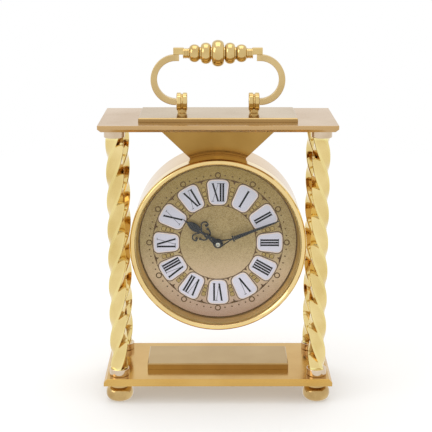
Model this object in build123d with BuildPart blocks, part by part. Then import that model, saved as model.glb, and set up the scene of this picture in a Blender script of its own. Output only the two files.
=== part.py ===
from build123d import *
import os
from math import cos, pi, radians, sin, sqrt

# A mantel clock: a round drum hung from a wedge between two bevelled plates, on four twisted
# columns, with a bail handle above and bun feet below.
# Millimetres. X runs to the right, Y to the back and Z up. The origin lies on the surface that
# the feet stand on, under the middle of the plates.

# Plates and the raised pads on them
plate_width = 140.0
plate_depth = 66.0
plate_thickness = 4.0
plate_bevel = 1.8
base_pad_width = 88.0
base_pad_depth = 31.0
base_pad_thickness = 4.0
top_pad_width = 94.0
top_pad_depth = 42.0
top_pad_thickness = 2.5
pad_bevel = 0.5

# Feet
foot_height = 12.0
foot_diameter = 16.7
foot_neck_diameter = 11.8
foot_neck_height = 3.0
foot_groove = 0.6
foot_sole_diameter = 9.2

# Columns
column_height = 153.4
column_inset_x = 9.0
column_inset_y = 10.5
bar_side = 8.3
bar_land = 0.7
twist_lead = 70.5
collar_diameter = 12.2
collar_height = 4.4
collar_edge = 0.4
spigot_diameter = 7.0
stud_diameter = 4.0
stud_reach_in_column = 8.0
stud_reach_in_foot = 7.0
stud_reach_in_top = 3.0

# Drum, bezel and glass, along Y from the front
bezel_front = -24.0
bezel_overhang = 0.4
bezel_depth = 11.5
bezel_face = 3.3
bezel_lip = 2.5
bezel_wall = 2.8
bezel_shoulder = 1.9
bezel_shoulder_depth = 2.3
spigot_length = 2.4
drum_seam = 0.3
column_drum_gap = 8.0
drum_length = 36.0
drum_wall = 1.4
drum_edge = 0.6
drum_ledge_width = 4.6
drum_ledge_thickness = 1.2
dial_setback = 10.0
dial_thickness = 1.0
dial_ring_top_inset = 0.3
dial_ring_foot_inset = 1.7
dial_ring_foot_height = 2.2
glass_thickness = 1.2
ring_fit = 0.1
rear_cover_thickness = 1.2
rear_cover_rim = 1.0
rear_cover_rim_length = 4.0
thumb_notch_radius = 7.0

# Wedge that carries the drum
bracket_top_width = 78.0
bracket_bottom_width = 34.0
bracket_bottom_height = 148.2
wedge_wrap = 3.0
bracket_depth = 19.0

# Numeral plaques on the dial
plaque_outer_radius = 39.4
plaque_inner_radius = 23.7
plaque_outer_width = 13.2
plaque_inner_width = 9.4
plaque_corner = 2.6
plaque_thickness = 0.5
plaque_count = 12

# Clock movement
movement_side = 56.0
movement_corner = 3.0
movement_depth = 16.0
movement_wall = 1.5
movement_fit = 0.2
ear_length = 8.0
ear_width = 9.0
ear_thickness = 2.0
post_diameter = 4.0
post_length = 4.0
clip_diameter = 6.6
clip_thickness = 0.8
partition_drop = 10.5
partition_wall = 1.5

# Battery and what feeds the coil
battery_diameter = 14.2
battery_length = 49.3
battery_cap_diameter = 5.0
battery_cap_length = 1.2
battery_fit = 0.3
contact_thickness = 0.5
contact_width = 6.0
contact_height = 9.0
board_width = 13.0
board_height = 28.0
board_thickness = 1.0
coil_diameter = 6.5
coil_length = 17.0
coil_flange = 8.0
coil_flange_thickness = 1.5

# Gears behind the dial: the minute pinion drives the setting wheel, whose pinion drives the
# hour wheel, twelve to one in all
gear_distance = 12.0
minute_pinion_teeth = 12
setting_wheel_teeth = 36
setting_pinion_teeth = 10
hour_wheel_teeth = 40
tooth_addendum = 0.88
tooth_dedendum = 1.3
tooth_root_share = 0.48
tooth_tip_share = 0.15
hour_wheel_gap = 0.5
hour_wheel_thickness = 1.2
setting_wheel_gap = 1.2
setting_wheel_thickness = 1.0
minute_pinion_length = 1.8
setting_pinion_margin = 0.2
shaft_fit = 0.05
setting_arbor_diameter = 2.0
knob_diameter = 11.0
knob_length = 4.0
knob_gap = 0.5
knob_bore = 3.0
arbor_end_gap = 0.3
knob_notch_diameter = 1.4
knob_notch_count = 18

# Hands
minute_angle = 68.4
dial_hole_diameter = 4.6
hour_pipe_diameter = 3.6
minute_arbor_diameter = 2.0
minute_tip_diameter = 1.3
hand_thickness = 0.6
hour_hand_lift = 2.1
minute_hand_lift = 4.0
hand_stand = 0.2
hour_hand_length = 26.6
hour_hub_diameter = 6.0
hour_leaf_base = 12.7
hour_leaf_place = 17.4
hour_leaf_width = 4.8
hour_leaf_neck = 22.6
hour_leaf_neck_width = 1.2
hour_waist_width = 1.5
hour_eye_place = 13.4
hour_eye_diameter = 0.7
hour_knot_place = 8.7
hour_knot_diameter = 2.7
hour_knot_eye = 0.9
hour_bar_place = 7.3
hour_bar_length = 4.6
hour_bar_width = 1.1
hour_stem_width = 4.9
hour_stem_eye_place = 4.9
hour_stem_eye_diameter = 0.8
scroll_strand = 0.75
scroll_ball_diameter = 1.6
scroll_place = 13.2
scroll_offset = 4.6
scroll_radius = 2.1
scroll_start_angle = -30.0
scroll_sweep = 165.0
scroll_ball_inset = 0.8
scroll_ball_rise = 0.4
curl_place = 10.5
curl_offset = 3.8
curl_bend = 0.92
minute_hand_length = 39.6
minute_hub_diameter = 4.6
minute_frame_root = 1.2
minute_frame_apex = 9.0
minute_frame_width = 3.9
minute_frame_strand = 0.6
minute_bar_place = 9.9
minute_bar_length = 3.9
minute_bar_width = 0.9
minute_neck_width = 1.0
minute_blade_root = 10.6
minute_blade_width = 2.5
minute_blade_knee = 24.5
minute_blade_knee_width = 1.5
minute_tip_width = 0.45
hand_nut_diameter = 2.9
hand_nut_length = 1.4
hand_nut_edge = 0.4
hand_nut_hole = 1.0
hand_nut_front_wall = 0.7

# Handle and the knuckles that it swings in
knuckle_spacing = 43.4
knuckle_diameter = 10.9
knuckle_width = 6.5
knuckle_groove_width = 1.5
knuckle_groove_depth = 0.7
knuckle_edge = 0.4
knuckle_stem_diameter = 5.6
knuckle_stem_height = 1.2
knuckle_spigot_diameter = 3.4
knuckle_spigot_length = 5.6
pivot_diameter = 2.4
pivot_reach = 5.4
pivot_grip = 2.4
handle_gap = 0.3
handle_arm = 29.0
strap_thickness = 3.8
strap_width = 4.5
strap_tail = 2.0
strap_seat_drop = 0.65
block_length = 5.8
block_height = 4.1
grip_core_diameter = 7.6
bead_crown_share = 0.72
centre_bead_diameter = 15.9
centre_bead_width = 7.3
inner_bead_diameter = 12.7
inner_bead_width = 6.1
inner_bead_gap = 0.5
outer_bead_diameter = 10.6
outer_bead_width = 6.3
outer_bead_gap = 0.6
grip_collar_diameter = 6.2
grip_collar_length = 3.7
grip_collar_groove = 0.4
grip_collar_grooves = 3

# Screws
pad_screw_diameter = 3.0
pad_screw_head = 6.0
base_pad_screw_spacing = 60.0
base_pad_screw_reach = 2.5
top_pad_screw_spacing = 84.0
top_pad_screw_reach = 1.8
bracket_screw_diameter = 4.0
bracket_screw_head = 8.0
bracket_screw_spacing = 26.0
bracket_screw_reach = 10.0
drum_screw_diameter = 3.0
drum_screw_head = 5.6
drum_screw_head_height = 2.0
drum_screw_spacing = 10.0
drum_screw_reach = 8.0
handle_screw_diameter = 1.6
handle_screw_head = 3.0
handle_screw_reach = 1.8
screw_slot_width = 0.8
screw_slot_depth = 0.5

# Heights and places that follow
base_bottom = foot_height
base_top = base_bottom + plate_thickness
top_bottom = base_top + column_height
top_top = top_bottom + plate_thickness
top_pad_top = top_top + top_pad_thickness
column_x = plate_width / 2 - column_inset_x
column_y = plate_depth / 2 - column_inset_y
bar_bottom = base_top + collar_height
bar_top = top_bottom - collar_height
pivot_height = top_pad_top + knuckle_stem_height + knuckle_diameter / 2
grip_height = pivot_height + handle_arm
knuckle_x = knuckle_spacing / 2

# The drum fills the width between the columns, and its top lies inside the wedge
drum_diameter = 2 * (column_x - column_drum_gap)
bezel_diameter = drum_diameter + 2 * bezel_overhang
dial_height = bracket_bottom_height + wedge_wrap - drum_diameter / 2

# Depths along Y that follow, and the radii of what fits in the drum
bezel_back = bezel_front + bezel_depth
drum_front = bezel_back + drum_seam
drum_back = drum_front + drum_length
drum_inner_radius = drum_diameter / 2 - drum_wall
bore_radius = bezel_diameter / 2 - bezel_wall
window_radius = bezel_diameter / 2 - bezel_face
insert_radius = bore_radius - ring_fit
glass_front = bezel_front + bezel_lip
glass_back = glass_front + glass_thickness
dial_front = bezel_front + dial_setback
dial_back = dial_front + dial_thickness
ledge_front = bezel_back + spigot_length + ring_fit
ledge_radius = drum_inner_radius - drum_ledge_width
bracket_middle = (drum_front + drum_back) / 2
bracket_back = bracket_middle + bracket_depth / 2
movement_front = dial_back
movement_back = movement_front + movement_depth
hour_hand_front = dial_front - hour_hand_lift - hand_thickness
minute_hand_front = dial_front - minute_hand_lift - hand_thickness
hour_angle = 300.0 + minute_angle / 12.0
setting_height = dial_height + gear_distance
hour_wheel_front = movement_front + movement_wall + hour_wheel_gap
hour_wheel_back = hour_wheel_front + hour_wheel_thickness
setting_wheel_front = hour_wheel_back + setting_wheel_gap
setting_wheel_back = setting_wheel_front + setting_wheel_thickness

os.makedirs("parts", exist_ok=True)


def keep(part, node):
    """Labels a finished piece and writes its file."""
    part.label = node
    export_step(part, "parts/" + node + ".step")
    print(node, "solids", len(part.solids()), "volume", round(part.volume, 1))


def facing(y, height=dial_height):
    """The plane at depth y that faces the viewer, its middle on the dial's axis."""
    return Plane(origin=(0, y, height), x_dir=(1, 0, 0), z_dir=(0, -1, 0))


def hand_plane(y, angle):
    """The plane at depth y whose first axis points as a hand does, clockwise from twelve."""
    turn = radians(angle)
    return Plane(origin=(0, y, dial_height), x_dir=(sin(turn), 0, cos(turn)), z_dir=(0, -1, 0))


# Half of a lengthwise cut through the drum: the first axis runs back, the second outwards
drum_section = Plane(origin=(0, 0, dial_height), x_dir=(0, 1, 0), z_dir=(1, 0, 0))
dial_axis = Axis((0, 0, dial_height), (0, 1, 0))


def turned_ring(points):
    """A ring turned about the dial's axis from the corners of its section."""
    with BuildPart() as ring:
        with BuildSketch(drum_section):
            with BuildLine():
                Polyline(*points, close=True)
            make_face()
        revolve(axis=dial_axis)
    return ring.part


def countersunk(spots, seat, up, diameter, head, reach, slotted):
    """Countersunk screws whose flat heads lie in the plane at height seat, pointing up or down."""
    sign = 1 if up else -1
    plane = Plane(origin=(0, 0, seat), x_dir=(1, 0, 0), z_dir=(0, 0, sign))
    places = [(x, sign * y) for x, y in spots]
    cone = (head - diameter) / 2
    with BuildPart() as screws:
        with BuildSketch(plane):
            with Locations(*places):
                Circle(head / 2)
        extrude(amount=cone, taper=45)
        with BuildSketch(plane):
            with Locations(*places):
                Circle(diameter / 2)
        extrude(amount=reach)
        if slotted:
            with BuildSketch(plane):
                with Locations(*places):
                    Rectangle(head, screw_slot_width)
            extrude(amount=screw_slot_depth, mode=Mode.SUBTRACT)
    return screws.part


# Screws and studs come first, because the holes of what they hold are cut with them
column_spots = [(x, y) for x in (-column_x, column_x) for y in (-column_y, column_y)]

with BuildPart() as foot_studs:
    with BuildSketch(Plane.XY.offset(base_bottom - stud_reach_in_foot)):
        with Locations(*column_spots):
            Circle(stud_diameter / 2)
    extrude(amount=stud_reach_in_foot + plate_thickness + collar_height + stud_reach_in_column)
keep(foot_studs.part, "foot_studs")

with BuildPart() as top_studs:
    with BuildSketch(Plane.XY.offset(bar_top - stud_reach_in_column)):
        with Locations(*column_spots):
            Circle(stud_diameter / 2)
    extrude(amount=stud_reach_in_column + collar_height + stud_reach_in_top)
keep(top_studs.part, "top_studs")


def base_pad_screw_set(slotted):
    """The screws that come up through the base plate into its pad."""
    spots = [(-base_pad_screw_spacing / 2, 0), (base_pad_screw_spacing / 2, 0)]
    reach = plate_thickness + base_pad_screw_reach
    return countersunk(spots, base_bottom, True, pad_screw_diameter, pad_screw_head, reach, slotted)


def top_pad_screw_set(slotted):
    """The screws that come up through the top plate into its pad, outside the wedge."""
    spots = [(-top_pad_screw_spacing / 2, 0), (top_pad_screw_spacing / 2, 0)]
    reach = plate_thickness + top_pad_screw_reach
    return countersunk(spots, top_bottom, True, pad_screw_diameter, pad_screw_head, reach, slotted)


def bracket_screw_set(slotted):
    """The screws that go down through the top plate into the wedge, hidden by the pad."""
    spots = [(x, bracket_middle) for x in (-bracket_screw_spacing / 2, bracket_screw_spacing / 2)]
    reach = plate_thickness + bracket_screw_reach
    return countersunk(spots, top_top, False, bracket_screw_diameter, bracket_screw_head, reach, slotted)


keep(base_pad_screw_set(True), "base_pad_screws")
keep(top_pad_screw_set(True), "top_pad_screws")
keep(bracket_screw_set(True), "bracket_screws")

# The drum's screws rise from inside it, their heads against the curved wall
drum_screw_seat = dial_height + sqrt(drum_inner_radius**2 - (drum_screw_head / 2) ** 2)
with BuildPart() as drum_screws:
    with BuildSketch(Plane.XY.offset(drum_screw_seat - drum_screw_head_height)):
        with Locations((0, bracket_middle)):
            with GridLocations(1, drum_screw_spacing, 1, 2):
                Circle(drum_screw_head / 2)
    extrude(amount=drum_screw_head_height)
    with BuildSketch(Plane.XY.offset(drum_screw_seat)):
        with Locations((0, bracket_middle)):
            with GridLocations(1, drum_screw_spacing, 1, 2):
                Circle(drum_screw_diameter / 2)
    extrude(amount=drum_wall + drum_screw_reach)
keep(drum_screws.part, "drum_screws")

# Base plate and its pad
with BuildPart() as base_plate:
    with BuildSketch(Plane.XY.offset(base_bottom)):
        Rectangle(plate_width, plate_depth)
    extrude(amount=plate_thickness)
    chamfer(base_plate.faces().sort_by(Axis.Z)[-1].edges(), plate_bevel)
    add(foot_studs.part, mode=Mode.SUBTRACT)
    add(base_pad_screw_set(False), mode=Mode.SUBTRACT)
keep(base_plate.part, "base_plate")

with BuildPart() as base_pad:
    with BuildSketch(Plane.XY.offset(base_top)):
        Rectangle(base_pad_width, base_pad_depth)
    extrude(amount=base_pad_thickness)
    chamfer(base_pad.faces().sort_by(Axis.Z)[-1].edges(), pad_bevel)
    add(base_pad_screw_set(False), mode=Mode.SUBTRACT)
keep(base_pad.part, "base_pad")


# Knuckles: a double ring on a short stem, screwed down through the pad into the top plate
def knuckle(x):
    """One knuckle, with the bore that the handle's pivot turns in."""
    middle = Plane(origin=(x, 0, pivot_height), x_dir=(1, 0, 0), z_dir=(0, -1, 0))
    half = knuckle_width / 2
    rim = knuckle_diameter / 2
    lip = knuckle_groove_width / 2
    with BuildPart() as piece:
        with BuildSketch(middle):
            with BuildLine():
                Polyline((-half, 0), (-half, rim - knuckle_edge), (knuckle_edge - half, rim), (-lip, rim))
                ThreePointArc((-lip, rim), (0, rim - knuckle_groove_depth), (lip, rim))
                Polyline((lip, rim), (half - knuckle_edge, rim), (half, rim - knuckle_edge), (half, 0))
                Line((half, 0), (-half, 0))
            make_face()
        revolve(axis=Axis((x, 0, pivot_height), (1, 0, 0)))
        with BuildSketch(Plane.XY.offset(top_pad_top)):
            with Locations((x, 0)):
                Circle(knuckle_stem_diameter / 2)
        extrude(amount=pivot_height - top_pad_top)
        with BuildSketch(Plane.XY.offset(top_pad_top - knuckle_spigot_length)):
            with Locations((x, 0)):
                Circle(knuckle_spigot_diameter / 2)
        extrude(amount=knuckle_spigot_length)
        with BuildSketch(Plane.YZ.offset(x - half)):
            with Locations((0, pivot_height)):
                Circle(pivot_diameter / 2 + shaft_fit)
        extrude(amount=knuckle_width, mode=Mode.SUBTRACT)
    return piece.part


knuckles = {"knuckle_left": knuckle(-knuckle_x), "knuckle_right": knuckle(knuckle_x)}
for node, part in knuckles.items():
    keep(part, node)

# Top plate, bevelled below, and its pad
with BuildPart() as top_plate:
    with BuildSketch(Plane.XY.offset(top_bottom)):
        Rectangle(plate_width, plate_depth)
    extrude(amount=plate_thickness)
    chamfer(top_plate.faces().sort_by(Axis.Z)[0].edges(), plate_bevel)
    add(top_studs.part, mode=Mode.SUBTRACT)
    add(top_pad_screw_set(False), mode=Mode.SUBTRACT)
    add(bracket_screw_set(False), mode=Mode.SUBTRACT)
    for part in knuckles.values():
        add(part, mode=Mode.SUBTRACT)
keep(top_plate.part, "top_plate")

with BuildPart() as top_pad:
    with BuildSketch(Plane.XY.offset(top_top)):
        Rectangle(top_pad_width, top_pad_depth)
    extrude(amount=top_pad_thickness)
    chamfer(top_pad.faces().sort_by(Axis.Z)[-1].edges(), pad_bevel)
    add(top_pad_screw_set(False), mode=Mode.SUBTRACT)
    for part in knuckles.values():
        add(part, mode=Mode.SUBTRACT)
keep(top_pad.part, "top_pad")


# Columns: a square bar twisted about its own axis, round spigots at both ends and a collar on each
def twisted_column(x, y, left_handed, ridge_angle):
    """One twisted bar, its first ridge at ridge_angle where it leaves the lower collar."""
    flat = radians(ridge_angle + 45)
    foot = Plane(origin=(x, y, bar_bottom), x_dir=(cos(flat), sin(flat), 0), z_dir=(0, 0, 1))
    length = bar_top - bar_bottom
    with BuildPart() as column:
        with BuildLine(mode=Mode.PRIVATE) as spine:
            Line((x, y, bar_bottom), (x, y, bar_top))
        with BuildLine(mode=Mode.PRIVATE) as guide:
            Helix(twist_lead, length, bar_side, center=(x, y, bar_bottom), lefthand=left_handed)
        with BuildSketch(foot) as section:
            Rectangle(bar_side, bar_side)
            chamfer(section.vertices(), bar_land)
        sweep(path=spine.wires()[0], binormal=guide.wires()[0])
        for bottom in (base_top, bar_top):
            with BuildSketch(Plane.XY.offset(bottom)):
                with Locations((x, y)):
                    Circle(spigot_diameter / 2)
            extrude(amount=collar_height)
        add(foot_studs.part, mode=Mode.SUBTRACT)
        add(top_studs.part, mode=Mode.SUBTRACT)
    return column.part


def collar(x, y, bottom):
    """The plain ring that hides where a column meets a plate."""
    with BuildPart() as ring:
        with BuildSketch(Plane.XY.offset(bottom)):
            with Locations((x, y)):
                Circle(collar_diameter / 2)
        extrude(amount=collar_height)
        chamfer(ring.edges().filter_by(GeomType.CIRCLE), collar_edge)
        with BuildSketch(Plane.XY.offset(bottom)):
            with Locations((x, y)):
                Circle(spigot_diameter / 2)
        extrude(amount=collar_height, mode=Mode.SUBTRACT)
    return ring.part


def foot(x, y):
    """One bun foot with its neck."""
    side_view = Plane(origin=(x, y, 0), x_dir=(1, 0, 0), z_dir=(0, -1, 0))
    neck = foot_neck_diameter / 2
    neck_bottom = foot_height - foot_neck_height
    bun_top = neck_bottom - foot_groove
    with BuildPart() as bun:
        with BuildSketch(side_view):
            with BuildLine():
                Line((0, 0), (foot_sole_diameter / 2, 0))
                ThreePointArc((foot_sole_diameter / 2, 0), (foot_diameter / 2, bun_top / 2), (neck, bun_top))
                Line((neck, bun_top), (neck - foot_groove, bun_top + foot_groove / 2))
                Line((neck - foot_groove, bun_top + foot_groove / 2), (neck, neck_bottom))
                Polyline((neck, neck_bottom), (neck, foot_height), (0, foot_height), (0, 0))
            make_face()
        revolve(axis=Axis((x, y, 0), (0, 0, 1)))
        add(foot_studs.part, mode=Mode.SUBTRACT)
    return bun.part


corners = {
    "front_left": (-column_x, -column_y, False, 8.0),
    "front_right": (column_x, -column_y, True, 40.0),
    "back_left": (-column_x, column_y, False, 35.0),
    "back_right": (column_x, column_y, True, 15.0),
}
for corner, (x, y, left_handed, ridge_angle) in corners.items():
    keep(twisted_column(x, y, left_handed, ridge_angle), "column_" + corner)
    keep(collar(x, y, base_top), "lower_collar_" + corner)
    keep(collar(x, y, bar_top), "upper_collar_" + corner)
    keep(foot(x, y), "foot_" + corner)

# Wedge between the top plate and the drum, hollowed to the drum's curve
with BuildPart() as hanger_bracket:
    with BuildSketch(Plane.XZ.offset(-bracket_back)):
        with BuildLine():
            Polyline(
                (-bracket_top_width / 2, top_bottom),
                (bracket_top_width / 2, top_bottom),
                (bracket_bottom_width / 2, bracket_bottom_height),
                (-bracket_bottom_width / 2, bracket_bottom_height),
                close=True,
            )
        make_face()
    extrude(amount=bracket_depth)
    with BuildSketch(facing(bracket_back)):
        Circle(drum_diameter / 2)
    extrude(amount=bracket_depth, mode=Mode.SUBTRACT)
    add(bracket_screw_set(False), mode=Mode.SUBTRACT)
    add(drum_screws.part, mode=Mode.SUBTRACT)
keep(hanger_bracket.part, "hanger_bracket")

# Drum: a tube with a ledge inside that the dial's spacer rests on
with BuildPart() as drum_case:
    with BuildSketch(drum_section):
        with BuildLine():
            Polyline(
                (drum_front, drum_inner_radius),
                (drum_front, drum_diameter / 2 - drum_edge),
                (drum_front + drum_edge, drum_diameter / 2),
                (drum_back - drum_edge, drum_diameter / 2),
                (drum_back, drum_diameter / 2 - drum_edge),
                (drum_back, drum_inner_radius),
                (ledge_front + drum_ledge_thickness, drum_inner_radius),
                (ledge_front + drum_ledge_thickness, ledge_radius),
                (ledge_front, ledge_radius),
                (ledge_front, drum_inner_radius),
                close=True,
            )
        make_face()
    revolve(axis=dial_axis)
    add(drum_screws.part, mode=Mode.SUBTRACT)
keep(drum_case.part, "drum_case")

# Bezel: a rounded rim, a face that slopes in to the glass and a spigot that enters the drum
with BuildPart() as bezel:
    with BuildSketch(drum_section):
        with BuildLine():
            ridge = (bezel_front, bezel_diameter / 2 - bezel_shoulder)
            rim = (bezel_front + bezel_shoulder_depth, bezel_diameter / 2)
            Line((glass_front, window_radius), ridge)
            TangentArc(rim, ridge, tangent=(-1, 0))
            Polyline(
                rim,
                (bezel_back, bezel_diameter / 2),
                (bezel_back, drum_inner_radius - ring_fit),
                (bezel_back + spigot_length, drum_inner_radius - ring_fit),
                (bezel_back + spigot_length, bore_radius),
                (glass_front, bore_radius),
                (glass_front, window_radius),
            )
        make_face()
    revolve(axis=dial_axis)
keep(bezel.part, "bezel")

with BuildPart() as bezel_glass:
    with BuildSketch(facing(glass_back)):
        Circle(insert_radius)
    extrude(amount=glass_thickness)
keep(bezel_glass.part, "bezel_glass")

# Ring between the glass and the dial: it slopes in and then stands straight on the dial's edge
dial_ring_section = [
    (glass_back, window_radius - dial_ring_top_inset),
    (glass_back, insert_radius),
    (dial_front, insert_radius),
    (dial_front, window_radius - dial_ring_foot_inset),
    (dial_front - dial_ring_foot_height, window_radius - dial_ring_foot_inset),
]
keep(turned_ring(dial_ring_section), "dial_ring")

with BuildPart() as dial_plate:
    with BuildSketch(facing(dial_back)):
        Circle(insert_radius)
        Circle(dial_hole_diameter / 2, mode=Mode.SUBTRACT)
    extrude(amount=dial_thickness)
keep(dial_plate.part, "dial_plate")

dial_spacer_section = [
    (dial_back, insert_radius),
    (ledge_front, insert_radius),
    (ledge_front, ledge_radius),
    (dial_back, ledge_radius),
]
keep(turned_ring(dial_spacer_section), "dial_spacer")

# Numeral plaques: rounded keystones in a ring, their long edges outwards
with BuildSketch(mode=Mode.PRIVATE) as keystone:
    with BuildLine():
        middle = (plaque_outer_radius + plaque_inner_radius) / 2
        outer = plaque_outer_radius - middle
        inner = plaque_inner_radius - middle
        outer_corner = sqrt(plaque_outer_radius**2 - (plaque_outer_width / 2) ** 2) - middle
        Line((outer_corner, plaque_outer_width / 2), (inner, plaque_inner_width / 2))
        Line((inner, plaque_inner_width / 2), (inner, -plaque_inner_width / 2))
        Line((inner, -plaque_inner_width / 2), (outer_corner, -plaque_outer_width / 2))
        ThreePointArc(
            (outer_corner, -plaque_outer_width / 2), (outer, 0), (outer_corner, plaque_outer_width / 2)
        )
    make_face()
    fillet(keystone.vertices(), plaque_corner)

with BuildPart() as numeral_plaques:
    with BuildSketch(facing(dial_front)):
        with PolarLocations(middle, plaque_count, start_angle=90):
            add(keystone.sketch)
    extrude(amount=plaque_thickness)
keep(numeral_plaques.part, "numeral_plaques")

# Movement: a shallow case with the gears above a partition and the battery below it, held to the
# dial by two posts through its ears
half_side = movement_side / 2
post_x = half_side + ear_length - ear_width / 2
partition_bottom = -partition_drop - partition_wall
battery_y = movement_back - battery_diameter / 2
battery_z = dial_height + partition_bottom - battery_fit - battery_diameter / 2
bay_half_length = (battery_length + battery_cap_length) / 2 + battery_fit + contact_thickness
bay_height = battery_diameter + 2 * battery_fit
bay_depth = battery_diameter + battery_fit
gear_room_top = half_side - movement_wall
back_plate_front = movement_back - movement_wall

with BuildPart() as movement_case:
    with BuildSketch(facing(movement_back)):
        RectangleRounded(movement_side, movement_side, movement_corner)
    extrude(amount=movement_depth)
    with BuildSketch(facing(movement_front + ear_thickness)):
        SlotOverall(movement_side + 2 * ear_length, ear_width)
    extrude(amount=ear_thickness)
    with BuildSketch(facing(movement_back)):
        with Locations((0, (gear_room_top - partition_drop) / 2)):
            Rectangle(movement_side - 2 * movement_wall, gear_room_top + partition_drop)
    extrude(amount=movement_depth - movement_wall, mode=Mode.SUBTRACT)
    with BuildSketch(facing(movement_back)):
        with Locations((0, (half_side - partition_drop - partition_wall / 2) / 2)):
            Rectangle(movement_side, half_side + partition_drop + partition_wall / 2)
    extrude(amount=movement_wall, mode=Mode.SUBTRACT)
    with BuildSketch(facing(movement_back)):
        with Locations((0, partition_bottom - bay_height / 2)):
            Rectangle(2 * bay_half_length, bay_height)
    extrude(amount=bay_depth, mode=Mode.SUBTRACT)
    with BuildSketch(facing(movement_front + movement_wall)):
        Circle(hour_pipe_diameter / 2 + shaft_fit)
        with Locations((0, gear_distance)):
            Circle(setting_arbor_diameter / 2 + shaft_fit)
        with Locations((-post_x, 0), (post_x, 0)):
            Circle(post_diameter / 2)
    extrude(amount=movement_wall, mode=Mode.SUBTRACT)
    with BuildSketch(facing(movement_front + ear_thickness)):
        with Locations((-post_x, 0), (post_x, 0)):
            Circle(post_diameter / 2)
    extrude(amount=ear_thickness, mode=Mode.SUBTRACT)
keep(movement_case.part, "movement_case")

with BuildPart() as movement_back_plate:
    plate_low = -partition_drop - partition_wall / 2 + movement_fit
    with BuildSketch(facing(movement_back)) as outline:
        with Locations((0, (half_side + plate_low) / 2)):
            Rectangle(movement_side, half_side - plate_low)
        fillet(outline.vertices().group_by(Axis.Y)[-1], movement_corner)
        Circle(minute_arbor_diameter / 2 + shaft_fit, mode=Mode.SUBTRACT)
        with Locations((0, gear_distance)):
            Circle(setting_arbor_diameter / 2 + shaft_fit, mode=Mode.SUBTRACT)
    extrude(amount=movement_wall)
keep(movement_back_plate.part, "movement_back_plate")

with BuildPart() as dial_posts:
    with BuildSketch(facing(dial_back + post_length)):
        with Locations((-post_x, 0), (post_x, 0)):
            Circle(post_diameter / 2)
    extrude(amount=post_length)
keep(dial_posts.part, "dial_posts")

with BuildPart() as movement_clips:
    with BuildSketch(facing(movement_front + ear_thickness + clip_thickness)):
        with Locations((-post_x, 0), (post_x, 0)):
            Circle(clip_diameter / 2)
            Circle(post_diameter / 2, mode=Mode.SUBTRACT)
    extrude(amount=clip_thickness)
keep(movement_clips.part, "movement_clips")

# Circuit board against the back plate, with the drive coil standing on it
board_x = -half_side + movement_wall + movement_fit + board_width / 2
board_z = board_height / 2 - partition_drop + movement_fit
with BuildPart() as circuit_board:
    with BuildSketch(facing(back_plate_front)):
        with Locations((board_x, board_z)):
            Rectangle(board_width, board_height)
    extrude(amount=board_thickness)
keep(circuit_board.part, "circuit_board")

coil_y = back_plate_front - board_thickness - coil_flange / 2
with BuildPart() as drive_coil:
    with BuildSketch(Plane.XY.offset(dial_height + board_z - coil_length / 2)):
        with Locations((board_x, coil_y)):
            Circle(coil_diameter / 2)
    extrude(amount=coil_length)
    for end in (-coil_length / 2, coil_length / 2 - coil_flange_thickness):
        with BuildSketch(Plane.XY.offset(dial_height + board_z + end)):
            with Locations((board_x, coil_y)):
                Rectangle(coil_flange, coil_flange)
        extrude(amount=coil_flange_thickness)
keep(drive_coil.part, "drive_coil")

with BuildPart() as battery:
    with BuildSketch(Plane.YZ.offset(-(battery_length + battery_cap_length) / 2)):
        with Locations((battery_y, battery_z)):
            Circle(battery_diameter / 2)
    extrude(amount=battery_length)
    with BuildSketch(Plane.YZ.offset((battery_length - battery_cap_length) / 2)):
        with Locations((battery_y, battery_z)):
            Circle(battery_cap_diameter / 2)
    extrude(amount=battery_cap_length)
keep(battery.part, "battery")

with BuildPart() as battery_contacts:
    for x in (-bay_half_length, bay_half_length - contact_thickness):
        with BuildSketch(Plane.YZ.offset(x)):
            with Locations((battery_y, battery_z)):
                Rectangle(contact_width, contact_height)
        extrude(amount=contact_thickness)
keep(battery_contacts.part, "battery_contacts")


# Gears
def gear_outline(teeth, pitch_radius, first_tooth):
    """Draws a gear face in the sketch at hand: a root disc with a tapered tooth per division."""
    module = 2 * pitch_radius / teeth
    root = pitch_radius - tooth_dedendum * module
    tip = pitch_radius + tooth_addendum * module
    root_half = tooth_root_share * pi * module / 2
    tip_half = tooth_tip_share * pi * module / 2
    Circle(root)
    with PolarLocations(0, teeth, start_angle=first_tooth):
        Polygon(
            (root - module / 2, root_half),
            (root - module / 2, -root_half),
            (tip, -tip_half),
            (tip, tip_half),
            align=None,
        )


minute_pinion_radius = gear_distance * minute_pinion_teeth / (minute_pinion_teeth + setting_wheel_teeth)
setting_wheel_radius = gear_distance - minute_pinion_radius
setting_pinion_radius = gear_distance * setting_pinion_teeth / (setting_pinion_teeth + hour_wheel_teeth)
hour_wheel_radius = gear_distance - setting_pinion_radius
upwards = 90.0

# Minute arbor with its pinion: a shoulder behind the minute hand and a thinner tip through it
pinion_margin = (minute_pinion_length - setting_wheel_thickness) / 2
arbor_shoulder = minute_hand_front + hand_thickness
arbor_tip = minute_hand_front - (hand_nut_length - hand_nut_front_wall)
with BuildPart() as minute_arbor:
    with BuildSketch(facing(movement_back)):
        Circle(minute_arbor_diameter / 2)
    extrude(amount=movement_back - arbor_shoulder)
    with BuildSketch(facing(arbor_shoulder)):
        Circle(minute_tip_diameter / 2)
    extrude(amount=arbor_shoulder - arbor_tip)
    with BuildSketch(facing(setting_wheel_back + pinion_margin)):
        gear_outline(minute_pinion_teeth, minute_pinion_radius, upwards)
    extrude(amount=minute_pinion_length)
keep(minute_arbor.part, "minute_arbor")

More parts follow.
